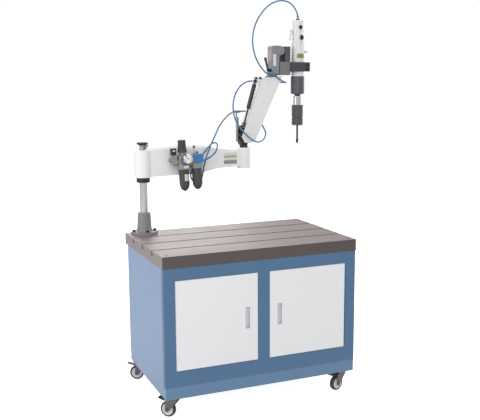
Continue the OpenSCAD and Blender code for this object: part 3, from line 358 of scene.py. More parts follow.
BLUE = Finish("blue_powder_coat", (0.066, 0.148, 0.276), 0.42, mottle=0.05, scale=900.0, bump=0.12,
              grime=0.35, slot="blue_frame")
# The cabinet's sides are the frame's blue painted lighter and paler: painted sheen of the light
# along the side.
BLUE_SIDE_SHEEN = BLUE.like("blue_sheet_coat", (0.190, 0.290, 0.470), 0.38, slot="blue_sheet")
BLUE_PLINTH = BLUE.like("blue_plinth_coat", (0.104, 0.212, 0.360), slot="blue_sheet")
DOOR_WHITE = Finish("off_white_powder_coat", (0.77, 0.77, 0.785), 0.45, mottle=0.02, scale=900.0,
                    bump=0.08, slot="white_door")
ENAMEL = Finish("white_enamel", (0.84, 0.84, 0.855), 0.32, coat=0.25, mottle=0.02, scale=260.0,
                bump=0.08, slot="white_casting")
BOX_WHITE = ENAMEL.like("box_powder_coat", (0.755, 0.755, 0.765), 0.36, coat=0.15, scale=700.0,
                        bump=0.06)
MOTOR_WHITE = ENAMEL.like("motor_shell", (0.69, 0.69, 0.695), 0.28, coat=0.35, scale=300.0,
                          bump=0.05, slot="motor_white")
IRON = Finish("milled_iron", (0.290, 0.248, 0.240), 0.5, 0.35, Pattern.MILLED, mottle=0.16,
              spread=0.2, scale=700.0, bump=0.35, slot="table_iron")
# The table's front and back rims are the iron painted much darker: painted shade on faces turned
# away from the light. The end faces keep about the top's own tone.
IRON_RIM_SHADE = IRON.like("oiled_iron_edge", (0.096, 0.075, 0.074), metallic=0.2, spread=0.15, bump=0.3)
IRON_END = IRON_RIM_SHADE.like("iron_end_face", (0.285, 0.242, 0.233))
FLANGE = Finish("dark_grey_paint", (0.225, 0.223, 0.240), 0.42, 0.0, Pattern.CASTING, mottle=0.1,
                scale=240.0, bump=0.3, slot="grey_iron")
AIR_GREY = FLANGE.like("air_unit_paint", (0.290, 0.268, 0.262), 0.45, mottle=0.12, scale=420.0,
                       bump=0.2, slot="air_grey")
HEAD_GREY = FLANGE.like("head_paint", (0.225, 0.230, 0.250), 0.4, scale=300.0, bump=0.25,
                        slot="head_grey")
DISC_GREY = HEAD_GREY.like("cap_paint", (0.29, 0.295, 0.31), 0.42, mottle=0.08, bump=0.1)
CLAMP_DARK = FLANGE.like("clamp_black", (0.070, 0.068, 0.077), metallic=0.35, mottle=0.14,
                         scale=520.0, bump=0.15, slot="tool_dark")
TOOL_DARK = CLAMP_DARK.like("dark_phosphate", (0.106, 0.103, 0.116), mottle=0.16, bump=0.2)
KNURLED = TOOL_DARK.like("knurled_phosphate", (0.087, 0.086, 0.096), 0.4, bump=0.6,
                         pattern=Pattern.KNURL)
ZINC = Finish("zinc_plate", (0.42, 0.42, 0.43), 0.28, 1.0, Pattern.BRUSHED, mottle=0.08,
              scale=500.0, slot="zinc")
CHROME = ZINC.like("bright_chrome", (0.78, 0.78, 0.79), 0.12, mottle=0.04, bump=0.03)
POST_METAL = ZINC.like("dull_zinc", (0.36, 0.36, 0.37), 0.3, metallic=0.9, mottle=0.1)
FORK_METAL = ZINC.like("dull_pressed_steel", (0.165, 0.150, 0.140), 0.27, metallic=0.9, mottle=0.2,
                       spread=0.25, scale=400.0, grime=0.2)
GROUND = ZINC.like("ground_steel", (0.76, 0.76, 0.77), 0.2, mottle=0.05, scale=900.0, bump=0.08,
                   slot="ground_steel")
BRONZE = ZINC.like("bearing_bronze", (0.45, 0.30, 0.12), 0.3, mottle=0.06, slot="bronze")
BRASS = ZINC.like("bare_brass", (0.52, 0.43, 0.22), 0.25, mottle=0.06, slot="brass_fitting")
TAP_STEEL = ZINC.like("tap_steel", (0.046, 0.044, 0.048), 0.3, metallic=0.9, mottle=0.15,
                      scale=600.0, slot="tap_steel")
BLOCK_GREY = ZINC.like("block_anodise", (0.235, 0.24, 0.25), 0.38, metallic=0.6, mottle=0.06,
                       scale=420.0, slot="block_grey")
BLACK = Finish("black_oxide", (0.020, 0.020, 0.022), 0.38, mottle=0.2, scale=500.0,
               slot="black_steel")
BOWL = Finish("bowl_paint", (0.061, 0.061, 0.064), 0.36, mottle=0.12, scale=420.0, bump=0.12,
              slot="bowl_grey")
BLACK_PLASTIC = Finish("black_moulding", (0.016, 0.016, 0.017), 0.42, mottle=0.1, scale=800.0,
                       bump=0.15, slot="black_plastic")
KNOB_GREY = BLACK_PLASTIC.like("knob_moulding", (0.036, 0.037, 0.034), 0.45)
GREY_PLASTIC = KNOB_GREY.like("grey_moulding", (0.60, 0.61, 0.63), mottle=0.04,
                              slot="grey_plastic")
TYRE = Finish("tyre_rubber", (0.022, 0.022, 0.024), 0.42, mottle=0.15, scale=500.0, bump=0.25,
              grime=0.25, slot="tyre")
RIM = Finish("pale_wheel_centre", (0.74, 0.74, 0.75), scale=500.0, grime=0.15, slot="tyre")
HOSE_BLUE = Finish("hose_polyurethane", (0.036, 0.160, 0.31), 0.22, coat=0.4, mottle=0.05,
                   scale=600.0, bump=0.03, slot="hose_blue")
COVER_BLUE = Finish("blue_cover", (0.045, 0.20, 0.52), 0.3, coat=0.2, mottle=0.05, scale=700.0,
                    slot="cover_blue")
MARK = Finish("printed_mark", (0.030, 0.030, 0.032), scale=700.0)
RED_BROWN = MARK.like("red_brown_knob", (0.16, 0.045, 0.030))
PALE_STEM = MARK.like("pale_stem", (0.50, 0.49, 0.47))
GREEN_MARK = MARK.like("dial_green", (0.10, 0.30, 0.09))
RED = MARK.like("red_ring", (0.50, 0.03, 0.03), 0.35)
PANEL_BLUE = RED.like("blue_cover_panel", (0.040, 0.175, 0.43))
VIOLET = RED.like("violet_ring", (0.085, 0.095, 0.24), mottle=0.08)
DIAL = RED.like("dial_card", (0.84, 0.84, 0.82), mottle=0.02, slot="dial_white")
LABEL_GREY = Finish("label_foil_grey", (0.30, 0.30, 0.32), 0.4, 0.3, Pattern.BRUSHED, mottle=0.08,
                    scale=900.0)
LABEL_PALE = LABEL_GREY.like("label_foil_pale", (0.70, 0.70, 0.69), metallic=0.2)
LABEL_DARK = LABEL_GREY.like("label_foil_dark", (0.10, 0.092, 0.065), mottle=0.1)
LABEL_GOLD = LABEL_DARK.like("label_foil_gold", (0.47, 0.42, 0.22))
FOIL_RED = LABEL_PALE.like("foil_red_brown", (0.37, 0.300, 0.310), mottle=0.1)


# ---- surfaces ----

def put(name: str, mesh: Mesh, material: Material,
        body: str | None = None, crease: float = 32.0) -> Object:
    """Put a mesh into the scene at the origin, with smooth faces and sharp creases.

    Args:
        name: the piece's name.
        mesh: its mesh.
        material: its material.
        body: the CAD body that it rides on, if any.
        crease: edges steeper than this many degrees stay sharp.

    Returns:
        The object.
    """
    mesh.name = name
    mesh.materials.clear()
    mesh.materials.append(material)
    mesh.polygons.foreach_set("use_smooth", [True] * len(mesh.polygons))
    mesh.set_sharp_from_angle(angle=math.radians(crease))
    obj = bpy.data.objects.new(name, mesh)
    bpy.context.scene.collection.objects.link(obj)
    if body:
        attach(obj, body)
    return obj


def grid_mesh(name: str, *grids: np.ndarray, wrap_u: bool = False, wrap_v: bool = True,
              caps: bool = True) -> Mesh:
    """Make a mesh from grids of points.

    Args:
        name: the mesh's name.
        grids: points of shape (rows, columns, 3), in metres.
        wrap_u: whether each grid's last row joins its first.
        wrap_v: whether the last column joins the first.
        caps: whether the first and last rows are closed with a face each.

    Returns:
        The mesh: quad (i, j) joins points (i, j), (i, j+1), (i+1, j+1) and (i+1, j).
    """
    points, faces = [], []
    for grid in grids:
        rows, cols = grid.shape[:2]
        index = np.arange(rows * cols).reshape(rows, cols) + len(points)
        points += grid.reshape(-1, 3).tolist()
        ends = [index[0][::-1].tolist(), index[-1].tolist()] if caps else []
        if wrap_u:
            index = np.vstack([index, index[:1]])
        if wrap_v:
            index = np.hstack([index, index[:, :1]])
        quads = np.stack([index[:-1, :-1], index[:-1, 1:], index[1:, 1:], index[1:, :-1]], -1)
        faces += quads.reshape(-1, 4).tolist() + ends
    mesh = bpy.data.meshes.new(name)
    mesh.from_pydata(points, [], faces)
    tidy = bmesh.new()
    tidy.from_mesh(mesh)
    bmesh.ops.remove_doubles(tidy, verts=tidy.verts, dist=1e-7)
    bmesh.ops.recalc_face_normals(tidy, faces=tidy.faces)
    tidy.to_mesh(mesh)
    tidy.free()
    return mesh


def turned(profile: list[Span], centre: Point, axis: Point, count: int) -> np.ndarray:
    """Turn a profile about an axis.

    Args:
        profile: radius r and height h of each point.
        centre: where height 0 lies.
        axis: the axis's direction.
        count: points round the axis.

    Returns:
        Points centre + h axis + r (cos a one + sin a two), in metres.
    """
    line = np.array(axis)
    helper = np.array(UP) if abs(line[2]) < 0.9 else np.array(RIGHT)
    one = np.cross(helper, line)
    one /= np.linalg.norm(one)
    two = np.cross(line, one)
    angle = np.linspace(0, 2 * np.pi, count, endpoint=False)
    radius, height = (column[:, None] for column in np.array(profile, float).T)
    return (centre + height[..., None] * line
            + (radius * np.cos(angle))[..., None] * one
            + (radius * np.sin(angle))[..., None] * two) * MM


def plate(centre: Point, width: Point, height: Point, thick: float, size: Span,
          corner: float) -> np.ndarray:
    """Make a thin plate with round corners and a bevelled front edge.

    Args:
        centre: the middle of its back face.
        width: direction of its width.
        height: direction of its height.
        thick: its thickness along width x height.
        size: its width and height.
        corner: the radius of its corners.

    Returns:
        Rings of points from its back edge to the middle of its front, in metres.
    """
    w, h = np.array(width, float), np.array(height, float)
    a = np.linspace(0, np.pi / 2, 6) + np.arange(4)[:, None] * np.pi / 2
    mid = np.array(((1, 1), (-1, 1), (-1, -1), (1, -1))) * (np.array(size) / 2 - corner)
    ring = (mid[:, None] + corner * np.stack([np.cos(a), np.sin(a)], -1)).reshape(-1, 2)
    bevel = 0.4 * thick
    inner = ring * (1 - 2 * bevel / np.array(size))
    rows = [(ring, 0.0), (ring, thick - bevel), (inner, thick), (inner * 0.02, thick)]
    return np.array([centre + r[:, :1] * w + r[:, 1:] * h + z * np.cross(w, h)
                     for r, z in rows]) * MM


def wrapped(centre: Point, axis: Point, radius: float, angles: Span, heights: Span,
            steps: int = 20) -> np.ndarray:
    """Wrap a thin label round a cylinder.

    Args:
        centre: where height 0 lies on the cylinder's axis.
        axis: the cylinder's upright direction.
        radius: its radius.
        angles: the label's two sides, in degrees from the front towards the right.
        heights: its lower and upper edge.
        steps: points across it.

    Returns:
        At each height a closed loop: out just over the surface, back just under it.
    """
    right = np.cross(axis, FRONT)
    a = np.radians(np.linspace(*angles, steps))
    loop_a = np.concatenate([a, a[::-1]])[None, :, None]
    loop_r = np.repeat((radius + FOIL, radius - 0.1), steps)[None, :, None]
    return (centre + np.array(heights)[:, None, None] * np.array(axis)
            + loop_r * (np.sin(loop_a) * right + np.cos(loop_a) * np.array(FRONT))) * MM


def spline(points: tuple[Point, ...], count: int) -> np.ndarray:
    """Run a smooth curve through points.

    Args:
        points: what it passes through.
        count: how many points it gets.

    Returns:
        Points of a Catmull-Rom curve, evenly spaced along it.
    """
    p = np.array(points, float)
    p = np.vstack([2 * p[0] - p[1], p, 2 * p[-1] - p[-2]])
    t = np.linspace(0, 1, 24, endpoint=False)[:, None]
    runs = [0.5 * (2 * b + (c - a) * t + (2 * a - 5 * b + 4 * c - d) * t ** 2
                   + (3 * b - a - 3 * c + d) * t ** 3)
            for a, b, c, d in zip(p[:-3], p[1:-2], p[2:-1], p[3:])]
    curve = np.vstack([*runs, p[-2:-1]])
    reach = np.concatenate([[0], np.cumsum(np.linalg.norm(np.diff(curve, axis=0), axis=1))])
    even = np.linspace(0, reach[-1], count)
    return np.stack([np.interp(even, reach, curve[:, k]) for k in range(3)], -1)


def tube(path: np.ndarray, radius: float, sides: int = 20) -> np.ndarray:
    """Carry a circle along a path without twist.

    Args:
        path: points of shape (n, 3).
        radius: the circle's radius.
        sides: points round the tube.

    Returns:
        Points path + r (cos a u + sin a v), where u is carried along the path, in metres.
    """
    heading = np.gradient(path, axis=0)
    heading /= np.linalg.norm(heading, axis=1)[:, None]
    side = np.cross(UP, heading[0])
    carried = []
    for h in heading:
        side = side - (side @ h) * h
        side = side / np.linalg.norm(side)
        carried.append(side)
    u = np.array(carried)
    angle = np.linspace(0, 2 * np.pi, sides, endpoint=False)[None, :, None]
    ring = np.cos(angle) * u[:, None] + np.sin(angle) * np.cross(heading, u)[:, None]
    return (path[:, None] + radius * ring) * MM


def air_point(x: float, y: float, z: float) -> Point:
    """Return a place of the leaning air unit in the frame of the whole."""
    return (AIR_ORIGIN[0] + x * AIR_RIGHT[0] + z * AIR_UP[0], AIR_ORIGIN[1] + y,
            AIR_ORIGIN[2] + x * AIR_RIGHT[2] + z * AIR_UP[2])


# ---- tests that pick faces ----

def inside(low: Point, high: Point, leaning: bool = False) -> Where:
    """Make a test for a box.

    Args:
        low: the box's lowest corner.
        high: its highest corner.
        leaning: whether the corners are in the air unit's own frame.

    Returns:
        The test: low <= p <= high on every axis.
    """
    def test(p: np.ndarray) -> np.ndarray:
        """Return whether each centre is in the box."""
        if leaning:
            p = (p - AIR_ORIGIN) @ np.array((AIR_RIGHT, (0.0, 1.0, 0.0), AIR_UP)).T
        return ((p >= low) & (p <= high)).all(axis=1)
    return test


def around(centre: Point, axis: Point, radii: Span, reach: Span) -> Where:
    """Make a test for a ring about an axis.

    Args:
        centre: a point of the axis.
        axis: its direction.
        radii: the least and the greatest distance from it.
        reach: the least and the greatest height along it.

    Returns:
        The test: h = (p - centre) . axis and |p - centre - h axis| are in their ranges.
    """
    line = np.array(axis)

    def test(centres: np.ndarray) -> np.ndarray:
        """Return whether each centre is in the ring."""
        away = centres - centre
        height = away @ line
        radius = np.linalg.norm(away - height[:, None] * line, axis=1)
        return ((radius >= radii[0]) & (radius <= radii[1])
                & (height >= reach[0]) & (height <= reach[1]))
    return test


def union_at(place: Point) -> tuple[Finish, Where]:
    """Return the hose's colour with the test for the union that starts at a place."""
    return HOSE_BLUE, around(place, RIGHT, (0.0, UNION_RADIUS), (-0.5, UNION_LENGTH + 0.5))


@dataclass
class Assembly:
    """A group of pieces, and what puts them on their bodies."""

    WELD = 2e-6
    FLAT = math.radians(0.4)
    MOST_CORNERS = 40

    nodes: dict[str, Object]

    def dress(self, name: str, finish: Finish, body: str, bevel: float = 0.5,
              *parts: tuple[Finish, Where], crease: float = 32.0) -> None:
        """Dress a CAD node: merge a copy of its corners, break its edges and paint it.

        Args:
            name: the node that the piece stands for.
            finish: its finish.
            body: the CAD body that it rides on.
            bevel: how wide its broken edges are.
            parts: other finishes, each with the test that picks its faces.
            crease: edges steeper than this many degrees are broken.
        """
        mesh = self.nodes[name].data.copy()
        for layer in ("custom_normal", "sharp_edge", "sharp_face"):
            if layer in mesh.attributes:
                mesh.attributes.remove(mesh.attributes[layer])
        merged = bmesh.new()
        merged.from_mesh(mesh)
        bmesh.ops.remove_doubles(merged, verts=merged.verts, dist=self.WELD)
        bmesh.ops.dissolve_limit(merged, angle_limit=self.FLAT, verts=merged.verts,
                                 edges=merged.edges)
        bmesh.ops.triangulate(
            merged, faces=[f for f in merged.faces if len(f.verts) > self.MOST_CORNERS])
        merged.to_mesh(mesh)
        merged.free()
        piece = put(f"{name}_dressed", mesh, Paintbox.get(finish), body, crease)
        centres = np.empty(len(mesh.polygons) * 3)
        mesh.polygons.foreach_get("center", centres)
        index = np.zeros(len(mesh.polygons), dtype=np.int32)
        for other, where in parts:
            mesh.materials.append(Paintbox.get(other))
            index[where(centres.reshape(-1, 3) / MM)] = len(mesh.materials) - 1
        mesh.polygons.foreach_set("material_index", index)
        edge = piece.modifiers.new("broken_edges", "BEVEL")
        edge.width, edge.segments = bevel * MM, 2
        edge.limit_method, edge.angle_limit = "ANGLE", math.radians(crease)
        edge.use_clamp_overlap = edge.harden_normals = True
        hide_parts(name)

    def add(self, name: str, finish: Finish, body: str | None, *grids: np.ndarray,
            **shape: bool) -> Object:
        """Add a piece made from grids of points, with the flags of grid_mesh."""
        return put(name, grid_mesh(name, *grids, **shape), Paintbox.get(finish), body)

    def turn(self, name: str, finish: Finish, body: str, profile: list[Span], centre: Point,
             axis: Point, count: int = 32) -> None:
        """Add a turned piece, whose profile starts and ends on its axis or closes on itself."""
        self.add(name, finish, body, turned(profile, centre, axis, count), caps=False,
                 wrap_u=profile[0][0] > 0)


# ---- sub-assemblies ----

@dataclass
class Bench(Assembly):
    """The cabinet, its doors and the iron table."""

    half_length: float = 500.0
    half_depth: float = 321.5
    rim_top: float = 779.5
    cup: Point = (11.6, 12.0, 52.6)

    def build(self) -> None:
        """Dress the cabinet, the doors and the table."""
        dress = self.dress
        x, y = self.half_length, self.half_depth
        plinth = inside((-x, -y - 0.5, 0.0), (x, -y + 3.5, 800.0))
        # The shell's sides carry the painted sheen of the lighter blue; its front faces take the
        # plinth blue.
        dress("cabinet_shell", BLUE_SIDE_SHEEN, "bench", 0.6, (BLUE_PLINTH, plinth))
        dress("front_frame", BLUE, "bench", 1.2)
        # The front and back rims get the painted shade; the two ends stay near the iron's own
        # colour.
        rims = ((IRON_RIM_SHADE, (-x, -y), (x, -y)), (IRON_RIM_SHADE, (-x, y), (x, y)),
                (IRON_END, (-x, -y), (-x, y)), (IRON_END, (x, -y), (x, y)))
        skin = 0.2
        dress("table_top", IRON, "bench", 1.0, *(
            (finish, inside((low[0] - skin, low[1] - skin, 0.0),
                            (high[0] + skin, high[1] + skin, self.rim_top)))
            for finish, low, high in rims))
        dress("bench_screws", BLACK, "bench", 0.4)
        for side in ("left", "right"):
            dress(f"door_{side}", DOOR_WHITE, f"door_{side}", 1.0)
            dress(f"pull_{side}", DOOR_WHITE, f"door_{side}", 0.5,
                  (GREY_PLASTIC, self._cup(side)))

    def _cup(self, side: str) -> Where:
        """Return the test for the inner faces of a door's recessed pull."""
        low, high = (np.array(corner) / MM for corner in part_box(f"pull_{side}"))
        across, deep, tall = self.cup
        x, _, z = (low + high) / 2
        return inside((x - across, low[1] + 0.2, z - tall), (x + across, low[1] + deep, z + tall))


@dataclass
class Castors(Assembly):
    """Four swivel castors with brake pedals."""

    trail: float = 30.0
    wheel_radius: float = 37.5
    tyre_depth: float = 10.5
    places: tuple[tuple[str, float, float, float], ...] = (
        ("fl", -445.0, -281.0, 135.0), ("fr", 445.0, -281.0, 197.0),
        ("bl", -445.0, 249.0, 157.0), ("br", 445.0, 249.0, 165.0))

    def build(self) -> None:
        """Dress the forks, wheels and pedals."""
        self.dress("castor_plates", ZINC, "bench", 0.4)
        for name, x, y, turn in self.places:
            a = math.radians(turn)
            axle = (x + self.trail * math.cos(a), y + self.trail * math.sin(a),
                    self.wheel_radius)
            centre = around(axle, (-math.sin(a), math.cos(a), 0.0),
                            (0.0, self.wheel_radius - self.tyre_depth), (-20.0, 20.0))
            self.dress(f"castor_fork_{name}", FORK_METAL, f"castor_{name}", 0.3)
            self.dress(f"castor_wheel_{name}", TYRE, f"wheel_{name}", 0.3, (RIM, centre))
            self.dress(f"brake_pedal_{name}", BLACK, f"brake_{name}", 0.5)


@dataclass
class Column(Assembly):
    """The column with its base flange, collar and top knob."""

    neck_radius: float = 20.5
    neck: Span = (1212.0, 1236.0)

    def build(self) -> None:
        """Dress the column's pieces."""
        neck = around((*COLUMN, 0.0), UP, (0.0, self.neck_radius), self.neck)
        self.dress("column_base", FLANGE, "bench", 0.6)
        self.dress("column", GROUND, "bench", 0.4)
        self.dress("column_collar", BLACK, "collar", 0.3)
        self.dress("top_knob", BLACK_PLASTIC, "top_knob", 0.5, (POST_METAL, neck))


@dataclass
class LowerArm(Assembly):
    """The white swing arm."""

    plate_at: Point = (53.0, 222.0, 1152.0)
    plate_turn: float = math.radians(3.4)
    plate_size: Span = (76.0, 60.0)
    bands: tuple[tuple[float, float, Finish], ...] = (
        (-20.0, 19.0, LABEL_GREY), (9.0, 9.0, LABEL_GOLD))

    def build(self) -> None:
        """Dress the casting and its bushes, and fix the bare plate on its front."""
        self.dress("lower_arm", ENAMEL, "arm", 2.0, crease=28.0)
        self.dress("arm_bushes", BRONZE, "arm", 0.3)
        right, back = math.cos(self.plate_turn), math.sin(self.plate_turn)
        along = (right, back, 0.0)
        x, y, z = self.plate_at
        self.add("arm_plate", LABEL_PALE, "arm",
                 plate(self.plate_at, along, UP, 0.5, self.plate_size, 2.0))
        for k, (rise, tall, finish) in enumerate(self.bands):
            self.add(f"arm_plate_band_{k}", finish, "arm",
                     plate((x + 0.5 * back, y - 0.5 * right, z + rise), along, UP, 0.2,
                           (self.plate_size[0] - 1.5, tall), 0.6))


@dataclass
class AirUnit(Assembly):
    """The filter, regulator, lubricator and shut-off valve on the arm."""

    gauge: Point = (13.0, -BODY_HALF, 55.0)
    gauge_face: float = 24.5
    pitch: float = 70.0
    band: Span = (17.6, 20.0)

    def build(self) -> None:
        """Dress the unit's pieces and add its small ones."""
        dress, x = self.dress, self.pitch
        rim = around(air_point(*self.gauge), FRONT, (21.5, 26.0), (8.0, 27.0))
        nipple = inside((-35.2, -14.0, 26.0), (-24.9, 14.0, 54.0), True)
        plug = inside((x - 13.0, -7.0, 101.5), (x + 1.0, 7.0, 116.0), True)
        stem = inside((x - 10.0, -4.0, 76.0), (x - 2.0, 4.0, 101.5), True)
        screw = inside((x + 1.0, -12.0, 75.0), (x + 13.0, 1.0, 90.0), True)
        dress("air_bracket", BLACK, "arm", 0.5)
        dress("air_bodies", AIR_GREY, "arm", 0.8, (RED_BROWN, plug), (PALE_STEM, stem),
              (BLACK_PLASTIC, screw))
        dress("air_bowls", BOWL, "arm", 0.4)
        dress("pressure_gauge", DIAL, "arm", 0.3, (CHROME, rim))
        dress("lubricator_cover", COVER_BLUE, "arm", 0.6)
        dress("shutoff_body", ZINC, "arm", 0.5, (BRASS, nipple))
        dress("shutoff_knob", BLACK_PLASTIC, "shutoff", 0.8)
        dress("regulator_knob", KNOB_GREY, "regulator", 0.5)
        self._dial()
        self._labels()

    def _dial(self) -> None:
        """Print the gauge's face: ticks, two coloured bands, a needle and its hub."""
        x, y, z = self.gauge
        face = air_point(x, y - self.gauge_face, z)
        add = self.add
        add("gauge_ticks", MARK, "arm", *(
            self._spoke(face, 225.0 - 27.0 * k, (14.6 if k % 2 else 13.2, 17.4), (0.9, 0.3))
            for k in range(11)))
        add("gauge_band_green", GREEN_MARK, "arm", self._arc(face, 100.0, 225.0))
        add("gauge_band_red", RED, "arm", self._arc(face, -45.0, 20.0))
        add("gauge_needle", MARK, "arm", self._spoke(face, 138.0, (-5.0, 15.0), (1.3, 1.0)))
        self.turn("gauge_hub", MARK, "arm",
                  [(0, 0), (2.6, 0), (2.6, 1.2), (1.8, 1.8), (0, 1.8)], face, FRONT)

    @staticmethod
    def _spoke(face: Point, angle: float, reach: Span, size: Span) -> np.ndarray:
        """Make a thin bar on the dial.

        Args:
            face: the dial's centre.
            angle: where it points, in degrees from the right.
            reach: how far from the centre it starts and ends.
            size: its width and how far it stands proud.

        Returns:
            Its lower and upper ring of four corners, in metres.
        """
        a, front = math.radians(angle), np.array(FRONT)
        along = math.cos(a) * np.array(AIR_RIGHT) + math.sin(a) * np.array(AIR_UP)
        w, d = (reach[1] - reach[0]) / 2 * along, size[1] / 2 * front
        h = size[0] / 2 * np.cross(along, front)
        ring = np.array([w + h, h - w, -w - h, w - h])
        return (face + sum(reach) / 2 * along + d
                + np.stack([ring - d, ring + d])) * MM

    def _arc(self, face: Point, start: float, end: float) -> np.ndarray:
        """Make a coloured band of the dial.

        Args:
            face: the dial's centre.
            start: its first angle, in degrees from the right towards up.
            end: its last angle.

        Returns:
            A ring of four corners at each angle, in metres.
        """
        right, up, front = (np.array(v) for v in (AIR_RIGHT, AIR_UP, FRONT))
        a = np.radians(np.linspace(start, end, 24))[:, None, None]
        inner, outer = self.band
        r = np.array((inner, outer, outer, inner))[None, :, None]
        lift = np.array((0.0, 0.0, 0.25, 0.25))[None, :, None]
        return (face + r * (np.cos(a) * right + np.sin(a) * up) + lift * front) * MM

    def _labels(self) -> None:
        """Fix the bare labels, the violet ring, the cover's panel and the shut-off knob's pale
        mark, which is partly a painted highlight.
        """
        y, x = -BODY_HALF, self.pitch
        self.turn(
            "regulator_ring", VIOLET, "arm",
            [(15.5, 0.0), (22.5, 0.0), (22.5, 1.6), (21.7, 2.4), (16.2, 2.4), (15.5, 1.8)],
            air_point(1.0, y, 45.0), FRONT, 72)
        self.add("bowl_label", LABEL_PALE, "arm",
                 wrapped(AIR_ORIGIN, AIR_UP, 25.9, (-12.0, 42.0), (-59.0, -25.0)))
        for name, finish, body, place, thick, size, corner in (
                ("body_label", LABEL_PALE, "arm", (8.0, y, 12.0), 0.3, (26.0, 12.0), 1.0),
                ("cover_panel", PANEL_BLUE, "arm", (x + 4.0, y - 9.0, 50.0), 0.8, (38.0, 32.0),
                 3.0),
                # A pale index mark on the shut-off knob's front, which also paints the knob's
                # highlight.
                ("shutoff_mark", LABEL_PALE, "shutoff", (-48.0, -13.0, 98.0), 0.4, (13.0, 7.0),
                 1.0)):
            self.add(name, finish, body,
                     plate(air_point(*place), AIR_RIGHT, AIR_UP, thick, size, corner))


@dataclass
class Elbow(Assembly):
    """The bracket that turns on the arm's end and carries the upper arm."""

    caps: tuple[Point, Point] = ((100.0, 150.0, 1200.0), (400.0, 217.3, 1400.0))

    def build(self) -> None:
        """Dress the bracket, the hose post and the pivot pins."""
        self.dress("elbow_bracket", BLACK, "elbow", 0.6)
        self.dress("elbow_post", POST_METAL, "elbow", 0.3, union_at(POST_UNION))
        self.dress("lift_pins", POST_METAL, "elbow", 0.4, (BOX_WHITE, inside(*self.caps)))


@dataclass
class UpperArm(Assembly):
    """The white box arm with its parallel link and gas spring."""

    lug_front: float = 234.0
    spring_top: Span = (199.99, 1552.0)

    def build(self) -> None:
        """Dress the box, the link and the gas spring."""
        x, z = self.spring_top
        bolts = ((BLACK, around((x + dx, self.lug_front, z + dz), FRONT, (0.0, r),
                                (-3.5, 30.0)))
                 for dx, dz, r in ((0.0, 0.0, 4.2), (7.0, 16.0, 5.7), (30.0, 16.0, 5.7)))
        self.dress("upper_arm", BOX_WHITE, "boom", 1.0, *bolts, union_at(BOOM_UNION))
        self.dress("parallel_link", BLACK, "link", 0.5)
        self.dress("gas_cylinder", BLACK, "gas_cylinder", 0.4)
        self.dress("gas_rod", BLACK, "gas_rod", 0.3)


@dataclass
class Head(Assembly):
    """The grey head that keeps the tool upright."""

    caps: tuple[Point, Point] = ((200.0, 150.0, 1500.0), (320.0, 217.3, 1620.0))
    cheeks: tuple[Point, Point] = ((312.5, 100.0, 1652.5), (420.0, 400.0, 1800.0))

    def build(self) -> None:
        """Dress the housing, its pins and lever, and the tool bracket."""
        dress, (x, y, z) = self.dress, HOUSING
        disc = around(TILT, FRONT, (0.0, 19.3), (30.2, 33.0))
        dress("head_housing", HEAD_GREY, "head", 1.2, union_at(HEAD_UNION), (DISC_GREY, disc))
        dress("head_pins", POST_METAL, "head", 0.4, (BOX_WHITE, inside(*self.caps)))
        dress("clamp_lever", BLACK_PLASTIC, "clamp_lever", 0.4)
        dress("head_bracket", BLOCK_GREY, "tool", 1.0, (TOOL_DARK, inside(*self.cheeks)))
        self.add("housing_label", LABEL_PALE, "head",
                 plate((x + 14.0, y, z + 72.0), RIGHT, UP, 0.4, (17.0, 62.0), 1.0))
        self.add("housing_edge_label", FOIL_RED, "head",
                 plate((x, y + 30.0, z + 94.0), FRONT, UP, 0.4, (40.0, 58.0), 1.0))


@dataclass
class Tool(Assembly):
    """The air motor with its gearbox, chuck and tap."""

    radius: float = 35.5
    label_heights: Span = (1669.0, 1697.0)
    label_angles: Span = (-34.0, 47.0)
    bars: int = 4

    def build(self) -> None:
        """Dress the tool's pieces and wrap the bare foil label round the motor."""
        dress, add, axis = self.dress, self.add, (*TOOL, 0.0)
        dress("tool_clamp", CLAMP_DARK, "tool", 0.8)
        dress("motor_body", MOTOR_WHITE, "tool", 0.8)
        dress("air_fittings", BRASS, "tool", 0.4,
              (BLACK_PLASTIC, around(axis, UP, (0.0, 11.5), (1870.0, 1877.8))),
              (ZINC, around(axis, UP, (0.0, 20.0), (1877.8, 1890.0))))
        dress("gearbox", TOOL_DARK, "tool", 0.8)
        dress("trigger_lever", GREY_PLASTIC, "trigger", 0.3)
        for button in ("button_upper", "button_lower"):
            dress(button, BLACK_PLASTIC, button, 0.5)
        dress("spindle", GROUND, "spindle", 0.4)
        dress("chuck", KNURLED, "spindle", 0.4)
        dress("tap", TAP_STEEL, "spindle", 0.2)
        add("motor_label", LABEL_GOLD, "tool",
            wrapped(axis, UP, self.radius, self.label_angles, self.label_heights))
        (low, high), (left, right) = self.label_heights, self.label_angles
        span = (right - left) / self.bars
        add("motor_label_patches", LABEL_DARK, "tool", *(
            wrapped(axis, UP, self.radius + 0.15,
                    (left + span * (k + 0.2), left + span * (k + 0.8)),
                    (low + 5.0, high - 6.0), steps=6) for k in range(self.bars)))


@dataclass(frozen=True)
class Run:
    """One length of air hose between two fittings."""

    name: str
    points: tuple[Point, ...]
    bodies: tuple[str, str]
    start: Point
    end: Point


